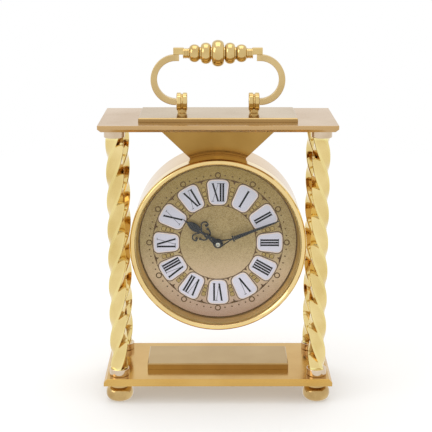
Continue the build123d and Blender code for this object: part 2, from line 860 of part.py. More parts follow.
# Hour wheel with the pipe that carries the hour hand, running on the minute arbor
pipe_end = hour_hand_front - hand_stand
with BuildPart() as hour_wheel:
    with BuildSketch(facing(hour_wheel_back)):
        gear_outline(hour_wheel_teeth, hour_wheel_radius, upwards)
    extrude(amount=hour_wheel_thickness)
    with BuildSketch(facing(hour_wheel_back)):
        Circle(hour_pipe_diameter / 2)
    extrude(amount=hour_wheel_back - pipe_end)
    with BuildSketch(facing(hour_wheel_back)):
        Circle(minute_arbor_diameter / 2 + shaft_fit)
    extrude(amount=hour_wheel_back - pipe_end, mode=Mode.SUBTRACT)
keep(hour_wheel.part, "hour_wheel")

# Setting wheel, its pinion and the arbor that its knob turns
knob_front = movement_back + knob_gap
with BuildPart() as setting_wheel:
    with BuildSketch(facing(setting_wheel_back, setting_height)):
        gear_outline(setting_wheel_teeth, setting_wheel_radius, upwards + 180.0 / setting_wheel_teeth)
    extrude(amount=setting_wheel_thickness)
    with BuildSketch(facing(setting_wheel_front, setting_height)):
        gear_outline(setting_pinion_teeth, setting_pinion_radius, upwards + 180.0 / setting_pinion_teeth)
    extrude(amount=setting_wheel_front - hour_wheel_front + setting_pinion_margin)
    with BuildSketch(facing(knob_front + knob_bore, setting_height)):
        Circle(setting_arbor_diameter / 2)
    extrude(amount=knob_front + knob_bore - movement_front - arbor_end_gap)
keep(setting_wheel.part, "setting_wheel")

with BuildPart() as setting_knob:
    with BuildSketch(facing(knob_front + knob_length, setting_height)):
        Circle(knob_diameter / 2)
        with PolarLocations(knob_diameter / 2, knob_notch_count):
            Circle(knob_notch_diameter / 2, mode=Mode.SUBTRACT)
    extrude(amount=knob_length)
    with BuildSketch(facing(knob_front + knob_bore, setting_height)):
        Circle(setting_arbor_diameter / 2)
    extrude(amount=knob_bore, mode=Mode.SUBTRACT)
keep(setting_knob.part, "setting_knob")

# Hour hand: a leaf on a pierced stem, with a pair of scrolls and a pair of curls
with BuildPart() as hour_hand:
    with BuildSketch(hand_plane(hour_hand_front + hand_thickness, hour_angle)):
        Circle(hour_hub_diameter / 2)
        with BuildLine():
            stem_half = hour_stem_width / 2
            neck_half = hour_waist_width / 2
            Line((0, stem_half), (hour_bar_place, neck_half))
            Line((hour_bar_place, neck_half), (hour_bar_place, -neck_half))
            Line((hour_bar_place, -neck_half), (0, -stem_half))
            Line((0, -stem_half), (0, stem_half))
        make_face()
        with Locations((hour_bar_place, 0)):
            Rectangle(hour_bar_width, hour_bar_length)
        with Locations((hour_knot_place, 0)):
            Circle(hour_knot_diameter / 2)
        with Locations(((hour_bar_place + hour_leaf_base) / 2, 0)):
            Rectangle(hour_leaf_base - hour_bar_place, hour_waist_width)
        with BuildLine():
            leaf_half = hour_leaf_width / 2
            tip_half = hour_leaf_neck_width / 2
            Spline((hour_leaf_base, neck_half), (hour_leaf_place, leaf_half), (hour_leaf_neck, tip_half))
            Polyline((hour_leaf_neck, tip_half), (hour_hand_length, 0), (hour_leaf_neck, -tip_half))
            Spline((hour_leaf_neck, -tip_half), (hour_leaf_place, -leaf_half), (hour_leaf_base, -neck_half))
            Line((hour_leaf_base, -neck_half), (hour_leaf_base, neck_half))
        make_face()
        for side in (1, -1):
            ball = (scroll_place - scroll_ball_inset, side * (scroll_offset + scroll_ball_rise))
            middle = (scroll_place, side * scroll_offset)
            with BuildLine(mode=Mode.PRIVATE) as scroll:
                curve = CenterArc(middle, scroll_radius, side * scroll_start_angle, side * scroll_sweep)
                Line((hour_leaf_base, side * neck_half), curve @ 0)
                Line(curve @ 1, ball)
            trace(lines=scroll.edges(), line_width=scroll_strand)
            curl_end = (curl_place, side * curl_offset)
            curl_bow = ((hour_bar_place + curl_place) / 2, side * curl_offset * curl_bend)
            with BuildLine(mode=Mode.PRIVATE) as curl:
                ThreePointArc((hour_bar_place, side * hour_bar_length / 2), curl_bow, curl_end)
            trace(lines=curl.edges(), line_width=scroll_strand)
            with Locations(curve @ 0, curve @ 1):
                Circle(scroll_strand / 2)
            with Locations(ball, curl_end):
                Circle(scroll_ball_diameter / 2)
        with Locations((hour_eye_place, 0)):
            Circle(hour_eye_diameter / 2, mode=Mode.SUBTRACT)
        with Locations((hour_knot_place, 0)):
            Circle(hour_knot_eye / 2, mode=Mode.SUBTRACT)
        with Locations((hour_stem_eye_place, 0)):
            Circle(hour_stem_eye_diameter / 2, mode=Mode.SUBTRACT)
        Circle(hour_pipe_diameter / 2, mode=Mode.SUBTRACT)
    extrude(amount=hand_thickness)
keep(hour_hand.part, "hour_hand")

# Minute hand: an open triangle, a crossbar and a long tapering blade
with BuildPart() as minute_hand:
    with BuildSketch(hand_plane(arbor_shoulder, minute_angle)):
        Circle(minute_hub_diameter / 2)
        for side in (1, -1):
            with BuildLine(mode=Mode.PRIVATE) as strand:
                Line((minute_frame_root, side * minute_frame_width / 2), (minute_frame_apex, 0))
            trace(lines=strand.edges(), line_width=minute_frame_strand)
        with Locations((minute_bar_place, 0)):
            Rectangle(minute_bar_width, minute_bar_length)
        with Locations(((minute_frame_apex + minute_blade_root) / 2, 0)):
            Rectangle(minute_blade_root - minute_frame_apex + minute_frame_strand * 2, minute_neck_width)
        with BuildLine():
            Polyline(
                (minute_blade_root, minute_blade_width / 2),
                (minute_blade_knee, minute_blade_knee_width / 2),
                (minute_hand_length, minute_tip_width / 2),
                (minute_hand_length, -minute_tip_width / 2),
                (minute_blade_knee, -minute_blade_knee_width / 2),
                (minute_blade_root, -minute_blade_width / 2),
                close=True,
            )
        make_face()
        Circle(minute_tip_diameter / 2, mode=Mode.SUBTRACT)
    extrude(amount=hand_thickness)
keep(minute_hand.part, "minute_hand")

with BuildPart() as hand_nut:
    with BuildSketch(facing(minute_hand_front)):
        Circle(hand_nut_diameter / 2)
    extrude(amount=hand_nut_length)
    chamfer(hand_nut.faces().sort_by(Axis.Y)[0].edges(), hand_nut_edge)
    with BuildSketch(facing(minute_hand_front)):
        Circle(minute_tip_diameter / 2)
    extrude(amount=hand_nut_length - hand_nut_front_wall, mode=Mode.SUBTRACT)
    with BuildSketch(facing(minute_hand_front)):
        Circle(hand_nut_hole / 2)
    extrude(amount=hand_nut_length, mode=Mode.SUBTRACT)
keep(hand_nut.part, "hand_nut")

# Rear cover: a disc with a rim that slides into the drum, and a notch to pull it out by
with BuildPart() as rear_cover:
    with BuildSketch(facing(drum_back + rear_cover_thickness)):
        Circle(drum_diameter / 2 - drum_edge)
    extrude(amount=rear_cover_thickness)
    with BuildSketch(facing(drum_back)):
        Circle(drum_inner_radius - ring_fit)
        Circle(drum_inner_radius - ring_fit - rear_cover_rim, mode=Mode.SUBTRACT)
    extrude(amount=rear_cover_rim_length)
    with BuildSketch(facing(drum_back + rear_cover_thickness)):
        with Locations((0, -drum_diameter / 2)):
            Circle(thumb_notch_radius)
    extrude(amount=rear_cover_thickness + rear_cover_rim_length, mode=Mode.SUBTRACT)
keep(rear_cover.part, "rear_cover")

# Handle: a grip of turned beads between two half-ring straps
inner_bead_start = centre_bead_width / 2 + inner_bead_gap
inner_bead_end = inner_bead_start + inner_bead_width
outer_bead_start = inner_bead_end + outer_bead_gap
outer_bead_end = outer_bead_start + outer_bead_width
grip_collar_end = outer_bead_end + grip_collar_length
block_bottom = grip_height - strap_seat_drop
strap_radius = (handle_arm - strap_seat_drop - strap_thickness / 2) / 2
strap_middle = pivot_height + strap_radius
strap_start = knuckle_x + knuckle_width / 2 + handle_gap
handle_screw_x = strap_start - strap_tail + handle_screw_head / 2


def handle_screw_set(slotted):
    """The screws that hold each strap under its end block."""
    spots = [(-handle_screw_x, 0), (handle_screw_x, 0)]
    seat = block_bottom - strap_thickness
    reach = strap_thickness + handle_screw_reach
    return countersunk(spots, seat, True, handle_screw_diameter, handle_screw_head, reach, slotted)


keep(handle_screw_set(True), "handle_screws")

with BuildPart() as pivot_pins:
    for side in (1, -1):
        inner_end = side * (strap_start + pivot_grip)
        with BuildSketch(Plane(origin=(inner_end, 0, pivot_height), x_dir=(0, 1, 0), z_dir=(-side, 0, 0))):
            Circle(pivot_diameter / 2)
        extrude(amount=pivot_grip + handle_gap + pivot_reach)
keep(pivot_pins.part, "pivot_pins")


def bead(middle, width, diameter):
    """The upper half of one rounded bead, as drawn in the grip's section."""
    rim = diameter / 2
    edge = rim - bead_crown_share * width / 2
    start = middle - width / 2
    end = middle + width / 2
    with BuildSketch(mode=Mode.PRIVATE) as outline:
        with BuildLine():
            Line((start, 0), (start, edge))
            ThreePointArc((start, edge), (middle, rim), (end, edge))
            Polyline((end, edge), (end, 0), (start, 0))
        make_face()
    return outline.sketch


with BuildPart() as handle_grip:
    with BuildSketch(Plane(origin=(0, 0, grip_height), x_dir=(1, 0, 0), z_dir=(0, -1, 0))) as section:
        with Locations((0, grip_core_diameter / 4)):
            Rectangle(2 * outer_bead_end, grip_core_diameter / 2)
        with Locations((0, grip_collar_diameter / 4)):
            Rectangle(2 * grip_collar_end, grip_collar_diameter / 2)
        add(bead(0, centre_bead_width, centre_bead_diameter))
        for side in (1, -1):
            add(bead(side * (inner_bead_start + inner_bead_end) / 2, inner_bead_width, inner_bead_diameter))
            add(bead(side * (outer_bead_start + outer_bead_end) / 2, outer_bead_width, outer_bead_diameter))
            for step in range(1, grip_collar_grooves + 1):
                place = outer_bead_end + step * grip_collar_length / (grip_collar_grooves + 1)
                with Locations((side * place, grip_collar_diameter / 2)):
                    Rectangle(grip_collar_groove, grip_collar_groove, mode=Mode.SUBTRACT)
    revolve(axis=Axis((0, 0, grip_height), (1, 0, 0)))
    with BuildSketch(Plane.XY.offset(block_bottom)):
        for side in (1, -1):
            with Locations((side * (grip_collar_end + block_length / 2), 0)):
                Rectangle(block_length, strap_width)
    extrude(amount=block_height)
    add(handle_screw_set(False), mode=Mode.SUBTRACT)
keep(handle_grip.part, "handle_grip")


def strap(side):
    """One half-ring strap, from its pivot round to the seat under the grip's end block."""
    outer = strap_radius + strap_thickness / 2
    inner = strap_radius - strap_thickness / 2
    start = side * strap_start
    end = side * (strap_start - strap_tail)
    with BuildPart() as piece:
        with BuildSketch(facing(strap_width / 2, strap_middle)):
            with BuildLine():
                ThreePointArc((start, outer), (start + side * outer, 0), (start, -outer))
                Line((start, -outer), (start, -inner))
                ThreePointArc((start, -inner), (start + side * inner, 0), (start, inner))
                Polyline((start, inner), (end, inner), (end, outer), (start, outer))
            make_face()
        extrude(amount=strap_width)
        add(handle_screw_set(False), mode=Mode.SUBTRACT)
        add(pivot_pins.part, mode=Mode.SUBTRACT)
    return piece.part


keep(strap(-1), "handle_strap_left")
keep(strap(1), "handle_strap_right")
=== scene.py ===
"""The looks of a brass mantel clock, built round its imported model.

X runs to the right, Y to the back and Z up, in metres. Sizes in the classes are in millimetres.
"""
import logging
from dataclasses import dataclass
from enum import Enum
from math import asin, cos, hypot, pi, radians, sin, sqrt
from typing import Iterable, Sequence

import bmesh
import bpy
from mathutils import Euler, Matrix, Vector


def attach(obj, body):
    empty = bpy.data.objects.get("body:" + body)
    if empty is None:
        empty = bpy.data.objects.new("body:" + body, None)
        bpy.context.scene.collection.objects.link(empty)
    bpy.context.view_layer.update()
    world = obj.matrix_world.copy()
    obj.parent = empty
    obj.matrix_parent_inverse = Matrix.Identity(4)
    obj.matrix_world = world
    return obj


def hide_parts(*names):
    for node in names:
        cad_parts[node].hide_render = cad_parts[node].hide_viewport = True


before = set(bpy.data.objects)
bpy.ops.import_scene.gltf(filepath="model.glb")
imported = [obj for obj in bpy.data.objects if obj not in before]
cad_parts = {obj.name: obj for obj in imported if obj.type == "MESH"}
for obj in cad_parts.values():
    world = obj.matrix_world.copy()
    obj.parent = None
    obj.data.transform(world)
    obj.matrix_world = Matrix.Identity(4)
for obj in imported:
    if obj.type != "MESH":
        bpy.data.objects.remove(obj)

LOG = logging.getLogger("clock")

Point2 = tuple[float, float]
Point3 = tuple[float, float, float]
Colour = tuple[float, float, float]
Material = bpy.types.Material
Node = bpy.types.Node
NodeTree = bpy.types.NodeTree
Socket = bpy.types.NodeSocket
Sockets = bpy.types.bpy_prop_collection

MM = 0.001

# Places that several sub-assemblies share, in millimetres.
AXIS_HEIGHT = 98.2
DIAL_FRONT = -14.0
TOP_PLATE_BOTTOM = 169.4

# A turned section that reaches its axis ends this far from it, in millimetres.
AXIS_HOLE = 0.05

# An edge stays sharp where its faces meet at more than this, in degrees.
CREASE = 32.0

# A corner's rounding takes at most this share of the edges beside it.
EDGE_SHARE = 0.48

# Keeps a sharp corner from shooting out when an outline is moved.
MITRE_LIMIT = 0.4

# Numbers of the Mix node's two colour inputs and of its colour output.
MIX_FIRST, MIX_SECOND, MIX_RESULT = 6, 7, 2


def srgb(red: int, green: int, blue: int) -> Colour:
    """Turns a colour as a picture shows it into the linear values that shaders take.

    Args:
        red: Red from 0 to 255.
        green: Green from 0 to 255.
        blue: Blue from 0 to 255.

    Returns:
        The three linear values.
    """
    values = []
    for part in (red, green, blue):
        share = part / 255.0
        values.append(share / 12.92 if share <= 0.04045 else ((share + 0.055) / 1.055) ** 2.4)
    return (values[0], values[1], values[2])


def rgba(colour: Colour) -> tuple[float, float, float, float]:
    """Adds a full alpha to a colour."""
    return (colour[0], colour[1], colour[2], 1.0)


class Axis(Enum):
    """The axis that a turned piece is turned about."""

    X = "x"
    Y = "y"
    Z = "z"


class Twist(Enum):
    """Which way a column is twisted, seen as a screw."""

    RIGHT_HANDED = 1
    LEFT_HANDED = -1


@dataclass(frozen=True)
class Basis:
    """A place to draw in: an origin and three directions, for sizes in millimetres."""

    origin: Vector
    u: Vector
    v: Vector
    w: Vector

    def at(self, u: float, v: float, w: float) -> Vector:
        """The point in metres for three coordinates in millimetres."""
        return (self.origin + self.u * u + self.v * v + self.w * w) * MM

    @classmethod
    def flat(cls, x: float, y: float, z: float) -> "Basis":
        """A basis that lies flat, its third direction up."""
        return cls(Vector((x, y, z)), Vector((1, 0, 0)), Vector((0, 1, 0)), Vector((0, 0, 1)))

    @classmethod
    def facing(cls, x: float, y: float, z: float) -> "Basis":
        """An upright basis, its third direction towards the viewer."""
        return cls(Vector((x, y, z)), Vector((1, 0, 0)), Vector((0, 0, 1)), Vector((0, -1, 0)))

    @classmethod
    def polar(cls, y: float, z: float, angle: float) -> "Basis":
        """An upright basis turned like a hand: outwards, clockwise and towards the viewer.

        Args:
            y: Depth of the drawing plane in millimetres.
            z: Height of the dial's middle in millimetres.
            angle: Degrees clockwise from twelve.

        Returns:
            The basis, its origin on the dial's axis.
        """
        turn = radians(angle)
        outwards = Vector((sin(turn), 0, cos(turn)))
        clockwise = Vector((cos(turn), 0, -sin(turn)))
        return cls(Vector((0, y, z)), outwards, clockwise, Vector((0, -1, 0)))


def between(first: Point2, second: Point2, share: float) -> Point2:
    """The point at a share of the way from the first point to the second."""
    return (first[0] + (second[0] - first[0]) * share, first[1] + (second[1] - first[1]) * share)


def spaced(first: float, last: float, steps: int) -> list[float]:
    """The values from the first to the last in equal steps, both ends with them."""
    return [first + (last - first) * step / steps for step in range(steps + 1)]


def soften(points: Sequence[Point2], radius: float, steps: int = 4, closed: bool = False) -> list[Point2]:
    """Rounds the corners of an outline.

    Args:
        points: Corners in order.
        radius: How far from each corner the rounding starts.
        steps: Number of straight pieces in each rounding.
        closed: Whether the last corner joins the first.

    Returns:
        The corners of the softened outline.
    """
    count = len(points)
    result: list[Point2] = []
    for index, corner in enumerate(points):
        if not closed and index in (0, count - 1):
            result.append(corner)
            continue
        ends = []
        for other in (points[index - 1], points[(index + 1) % count]):
            length = hypot(other[0] - corner[0], other[1] - corner[1])
            share = min(radius, length * EDGE_SHARE) / length if length > 0 else 0.0
            ends.append(between(corner, other, share))
        (u_1, v_1), (u_2, v_2) = ends
        for t in spaced(0, 1, steps):
            a, b, c = (1 - t) ** 2, 2 * t * (1 - t), t * t
            result.append((a * u_1 + b * corner[0] + c * u_2, a * v_1 + b * corner[1] + c * v_2))
    return result


def inset(outline: Sequence[Point2], distance: float) -> list[Point2]:
    """Moves a closed anticlockwise outline inwards.

    Args:
        outline: Its corners in order, anticlockwise.
        distance: How far to move it in; negative moves it out.

    Returns:
        The moved corners, as many as before.
    """
    count = len(outline)
    result: list[Point2] = []
    for index, here in enumerate(outline):
        normals = []
        for start, end in ((outline[index - 1], here), (here, outline[(index + 1) % count])):
            along = (end[0] - start[0], end[1] - start[1])
            size = hypot(*along) or 1.0
            normals.append((-along[1] / size, along[0] / size))
        total = (normals[0][0] + normals[1][0], normals[0][1] + normals[1][1])
        square = max(total[0] ** 2 + total[1] ** 2, MITRE_LIMIT)
        u, v = (place + part * 2 * distance / square for place, part in zip(here, total))
        result.append((u, v))
    return result


def rectangle(width: float, height: float, corner: float, steps: int = 4) -> list[Point2]:
    """An anticlockwise rectangle about the origin with rounded corners.

    Args:
        width: Its size along the first coordinate.
        height: Its size along the second coordinate.
        corner: How far each corner's rounding reaches.
        steps: Number of straight pieces in each rounding.

    Returns:
        Its corners in order.
    """
    half_w, half_h = width / 2, height / 2
    corners = [(-half_w, -half_h), (half_w, -half_h), (half_w, half_h), (-half_w, half_h)]
    return soften(corners, corner, steps, closed=True)


class PieceMesh:
    """Collects the faces of one piece and makes its object."""

    def __init__(self) -> None:
        """Starts with nothing in it."""
        self.points: list[Vector] = []
        self.faces: list[tuple[int, ...]] = []

    def rings(self, rings: Sequence[Sequence[Vector]], capped: bool = True, looped: bool = False) -> None:
        """Joins rings of equally many points with four-sided faces.

        Args:
            rings: The rings in order.
            capped: Whether the first and last ring are closed with a face.
            looped: Whether the last ring joins the first.
        """
        start = len(self.points)
        size = len(rings[0])
        for ring in rings:
            self.points.extend(ring)
        count = len(rings)
        for index in range(count if looped else count - 1):
            low = start + index * size
            high = start + ((index + 1) % count) * size
            for step in range(size):
                after = (step + 1) % size
                self.faces.append((low + step, low + after, high + after, high + step))
        if capped and not looped:
            self.faces.append(tuple(start + step for step in reversed(range(size))))
            last = start + (count - 1) * size
            self.faces.append(tuple(last + step for step in range(size)))

    def turn(
        self, axis: Axis, centre: Vector, section: Sequence[Point2], looped: bool = False, steps: int = 96
    ) -> None:
        """Turns a section about an axis.

        Args:
            axis: Direction of the axis.
            centre: A point on the axis in millimetres.
            section: Pairs of distance along the axis and radius, in millimetres.
            looped: Whether the section is a closed outline.
            steps: Number of divisions around.
        """
        rings = []
        for along, radius in section:
            ring = []
            for angle in spaced(0, 2 * pi, steps)[:-1]:
                a, b = radius * cos(angle), radius * sin(angle)
                offset = {Axis.X: (along, a, b), Axis.Y: (a, along, b), Axis.Z: (a, b, along)}[axis]
                ring.append((centre + Vector(offset)) * MM)
            rings.append(ring)
        self.rings(rings, capped=not looped, looped=looped)

    def prism(self, basis: Basis, outline: Sequence[Point2], profile: Sequence[Point2]) -> None:
        """Stacks insets of an outline.

        Args:
            basis: Where the outline lies.
            outline: The anticlockwise outline in millimetres.
            profile: Pairs of inset and height, from one end of the stack to the other.
        """
        rings = []
        for distance, height in profile:
            shape = inset(outline, distance) if distance else outline
            rings.append([basis.at(u, v, height) for u, v in shape])
        self.rings(rings)

    def sheet(self, basis: Basis, outline: Sequence[Point2], height: float) -> None:
        """Makes a thin sheet of an outline, flat on the basis and of one height."""
        self.prism(basis, outline, [(0.0, 0.0), (0.0, height)])

    def block(self, basis: Basis, size: Point2, corner: float, profile: Sequence[Point2]) -> None:
        """Stacks rectangles with rounded corners.

        Args:
            basis: Where the stack lies, its middle at the origin.
            size: Width and depth in millimetres.
            corner: How far each corner's rounding reaches.
            profile: Pairs of inset and height, from one end of the stack to the other.
        """
        rings = []
        for distance, height in profile:
            shape = rectangle(size[0] - 2 * distance, size[1] - 2 * distance, corner)
            rings.append([basis.at(u, v, height) for u, v in shape])
        self.rings(rings)

    def sweep(
        self, path: Sequence[Vector], sides: Sequence[Vector], up: Vector, section: Sequence[Point2]
    ) -> None:
        """Carries a section along a path.

        Args:
            path: Points of the path in millimetres.
            sides: For each point, the direction of the section's first coordinate.
            up: The direction of its second coordinate.
            section: The closed section in millimetres.
        """
        rings = []
        for point, side in zip(path, sides):
            rings.append([(point + side * u + up * v) * MM for u, v in section])
        self.rings(rings)

    def make(self, name: str, material: Material, body: str) -> bpy.types.Object:
        """Makes the object, with smooth faces and creases, and lets it ride on its body.

        Args:
            name: Name of the piece.
            material: Its finish.
            body: The body that carries it.

        Returns:
            The new object.
        """
        mesh = bpy.data.meshes.new(name)
        mesh.from_pydata(self.points, [], self.faces)
        work = bmesh.new()
        work.from_mesh(mesh)
        bmesh.ops.recalc_face_normals(work, faces=work.faces)
        work.to_mesh(mesh)
        work.free()
        mesh.shade_smooth()
        mesh.set_sharp_from_angle(angle=radians(CREASE))
        mesh.materials.append(material)
        piece = bpy.data.objects.new(name, mesh)
        bpy.context.scene.collection.objects.link(piece)
        shading = piece.modifiers.new("flat_faces", "WEIGHTED_NORMAL")
        shading.keep_sharp = True
        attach(piece, body)
        LOG.info("built %s: %d faces", name, len(self.faces))
        return piece


class Graph:
    """A tree of shader nodes, with short calls that add nodes and link them."""

    def __init__(self, tree: NodeTree) -> None:
        """Takes the tree to draw in."""
        self.tree = tree

    def give(self, node: Node, key: int | str, value: object) -> None:
        """Links a socket to one of a node's inputs, or sets a plain value on it.

        Args:
            node: The node.
            key: The input's name or number.
            value: A socket or a plain value.
        """
        if isinstance(value, Socket):
            self.tree.links.new(value, node.inputs[key])
        else:
            node.inputs[key].default_value = value

    def add(self, kind: str, inputs: dict[int | str, object] | None = None, **settings: object) -> Node:
        """Adds a shader node.

        Args:
            kind: Its type, without the leading ShaderNode.
            inputs: What its inputs are given, by name or number.
            **settings: Its other settings.

        Returns:
            The node.
        """
        node = self.tree.nodes.new("ShaderNode" + kind)
        for key, value in settings.items():
            setattr(node, key, value)
        for key, value in (inputs or {}).items():
            self.give(node, key, value)
        return node

    def calculate(self, operation: str, *values: object, clamp: bool = False) -> Socket:
        """Calculates with numbers and sockets.

        Args:
            operation: One of the Math node's operations.
            *values: Its inputs in order.
            clamp: Whether the result stays between 0 and 1.

        Returns:
            The result's socket.
        """
        return self.add("Math", dict(enumerate(values)), operation=operation, use_clamp=clamp).outputs[0]

    def spread(self, value: Socket, source: Sequence = (0.0, 1.0), target: Point2 = (0.0, 1.0)) -> Socket:
        """Maps one range of a value on another.

        Args:
            value: The value.
            source: The range that it comes from, as numbers or sockets.
            target: The range that it goes to.

        Returns:
            The result's socket.
        """
        inputs = {"Value": value, "From Min": source[0], "From Max": source[1]}
        inputs |= {"To Min": target[0], "To Max": target[1]}
        return self.add("MapRange", inputs).outputs[0]

    def place(self) -> Socket:
        """The piece's own coordinates."""
        return self.add("TexCoord").outputs["Object"]

    def noise(self, vector: Socket, scale: Socket | float, detail: float, **values: float) -> Socket:
        """Soft noise.

        Args:
            vector: Where it is read.
            scale: How fine it is.
            detail: How many finer layers it has.
            **values: Values for its other inputs.

        Returns:
            Its value's socket.
        """
        inputs = {"Vector": vector, "Scale": scale, "Detail": detail, **values}
        return self.add("TexNoise", inputs).outputs["Fac"]

    def blend(self, share: Socket, first: Socket, second: Socket) -> Socket:
        """Mixes two shaders, the second one by the share."""
        return self.add("MixShader", {"Fac": share, 1: first, 2: second}).outputs[0]


class Effect(Enum):
    """The surface effects that several finishes share."""

    TARNISH = "tarnish"
    POLISH = "polish"
    BRUSH = "brush"
    GRAIN = "grain"
    CURLS = "curls"
    WEAR = "wear"


class Effects:
    """Builds each shared effect once, as a group of shader nodes with named sockets."""

    def __init__(self) -> None:
        """Starts with no group built."""
        self.built: dict[Effect, NodeTree] = {}

    def group(self, effect: Effect) -> NodeTree:
        """The effect's node group, built on first use.

        Args:
            effect: Which effect.

        Returns:
            Its node tree.
        """
        if effect in self.built:
            return self.built[effect]
        inputs, output, draw = {
            Effect.TARNISH: ({"Scale": 30.0, "Contrast": 0.3}, "Mask", self.tarnish),
            Effect.POLISH: ({"Scale": 90.0}, "Height", self.polish),
            Effect.BRUSH: ({"Across": 4000.0, "Along": 60.0}, "Height", self.brush),
            Effect.GRAIN: ({"Scale": 2500.0}, "Height", self.grain),
            Effect.CURLS: ({"Scale": 600.0}, "Mask", self.curls),
            Effect.WEAR: ({"Start": 0.52, "End": 0.62}, "Mask", self.wear),
        }[effect]
        tree = bpy.data.node_groups.new(effect.value, "ShaderNodeTree")
        for label, value in inputs.items():
            socket = tree.interface.new_socket(name=label, in_out="INPUT", socket_type="NodeSocketFloat")
            socket.default_value = value
        tree.interface.new_socket(name=output, in_out="OUTPUT", socket_type="NodeSocketFloat")
        entry, out = tree.nodes.new("NodeGroupInput"), tree.nodes.new("NodeGroupOutput")
        tree.links.new(draw(Graph(tree), entry.outputs), out.inputs[output])
        self.built[effect] = tree
        return tree

    @staticmethod
    def tarnish(graph: Graph, given: Sockets) -> Socket:
        """Draws soft uneven patches.

        Args:
            graph: The group's nodes.
            given: The group's inputs Scale and Contrast.

        Returns:
            The mask of the patches.
        """
        noise = graph.noise(graph.place(), given["Scale"], 3.0, Roughness=0.55)
        centred = graph.calculate("SUBTRACT", noise, 0.5)
        return graph.calculate("MULTIPLY_ADD", centred, given["Contrast"], 0.5, clamp=True)

    @staticmethod
    def polish(graph: Graph, given: Sockets) -> Socket:
        """Draws the slow waviness of hand polishing, with the input Scale."""
        return graph.noise(graph.place(), given["Scale"], 1.0)

    @staticmethod
    def brush(graph: Graph, given: Sockets) -> Socket:
        """Draws fine lines along X.

        Args:
            graph: The group's nodes.
            given: The group's inputs Across and Along.

        Returns:
            The height of the lines.
        """
        scales = graph.add("CombineXYZ", {"X": given["Along"], "Y": given["Across"], "Z": given["Across"]})
        stretched = graph.add("VectorMath", {0: graph.place(), 1: scales.outputs[0]}, operation="MULTIPLY")
        return graph.noise(stretched.outputs[0], 1.0, 2.0)

    @staticmethod
    def grain(graph: Graph, given: Sockets) -> Socket:
        """Draws fine even grain, with the input Scale."""
        return graph.noise(graph.place(), given["Scale"], 4.0, Roughness=0.7)

    @staticmethod
    def curls(graph: Graph, given: Sockets) -> Socket:
        """Draws thin curling strokes like fine engraving.

        Args:
            graph: The group's nodes.
            given: The group's input Scale.

        Returns:
            The mask of the strokes.
        """
        noise = graph.noise(graph.place(), given["Scale"], 1.0, Distortion=1.2)
        distance = graph.calculate("ABSOLUTE", graph.calculate("SUBTRACT", noise, 0.5))
        return graph.spread(distance, (0.075, 0.015))

    @staticmethod
    def wear(graph: Graph, given: Sockets) -> Socket:
        """Finds the pointed edges, with the inputs Start and End: brass brightens them as wear and as a
        painted highlight, lacquer shows bare metal there.
        """
        pointed = graph.add("NewGeometry").outputs["Pointiness"]
        return graph.spread(pointed, (given["Start"], given["End"]))


EFFECTS = Effects()


class Board(Graph):
    """A material's nodes round one Principled shader."""

    def __init__(self, name: str) -> None:
        """Starts a material with a Principled shader and its output.

        Args:
            name: The material's name.
        """
        self.material = bpy.data.materials.new(name)
        self.material.use_nodes = True
        super().__init__(self.material.node_tree)
        self.tree.nodes.clear()
        self.output = self.add("OutputMaterial")
        self.shader = self.add("BsdfPrincipled")
        self.show(self.shader.outputs[0])

    def show(self, shader: Socket) -> None:
        """Makes a shader the one that the material shows."""
        self.give(self.output, "Surface", shader)

    def set(self, **values: object) -> None:
        """Sets or links the shader's inputs, with underscores for the spaces in their names."""
        for key, value in values.items():
            self.give(self.shader, key.replace("_", " "), value)

    def effect(self, effect: Effect, **values: float) -> Socket:
        """Places a shared effect, with values for its inputs."""
        return self.add("Group", values, node_tree=EFFECTS.group(effect)).outputs[0]

    def mix(self, mask: Socket, first: Socket | Colour, second: Socket | Colour) -> Socket:
        """Mixes two colours.

        Args:
            mask: Where the second colour shows.
            first: The first colour.
            second: The second colour.

        Returns:
            The mixed colour's socket.
        """
        one, two = (value if isinstance(value, Socket) else rgba(value) for value in (first, second))
        inputs = {"Factor": mask, MIX_FIRST: one, MIX_SECOND: two}
        return self.add("Mix", inputs, data_type="RGBA").outputs[MIX_RESULT]

    def ramp(self, value: Socket, stops: Sequence[tuple[float, Colour]]) -> Socket:
        """Turns a value from 0 to 1 into a colour.

        Args:
            value: The value's socket.
            stops: Positions and their colours.

        Returns:
            The colour's socket.
        """
        node = self.add("ValToRGB", {"Fac": value})
        while len(node.color_ramp.elements) < len(stops):
            node.color_ramp.elements.new(0.5)
        for element, (position, colour) in zip(node.color_ramp.elements, stops):
            element.position = position
            element.color = rgba(colour)
        return node.outputs["Color"]

    def bump(self, height: Socket, strength: float, distance: float) -> None:
        """Turns a height into the shader's normal, its full height a distance in metres."""
        node = self.add("Bump", {"Height": height, "Strength": strength, "Distance": distance})
        self.set(Normal=node.outputs[0])

    def rise(self, low: float, high: float) -> Socket:
        """A value from 0 at one height to 1 at another, both in metres."""
        height = self.add("SeparateXYZ", {0: self.place()}).outputs["Z"]
        return self.spread(height, (low, high))


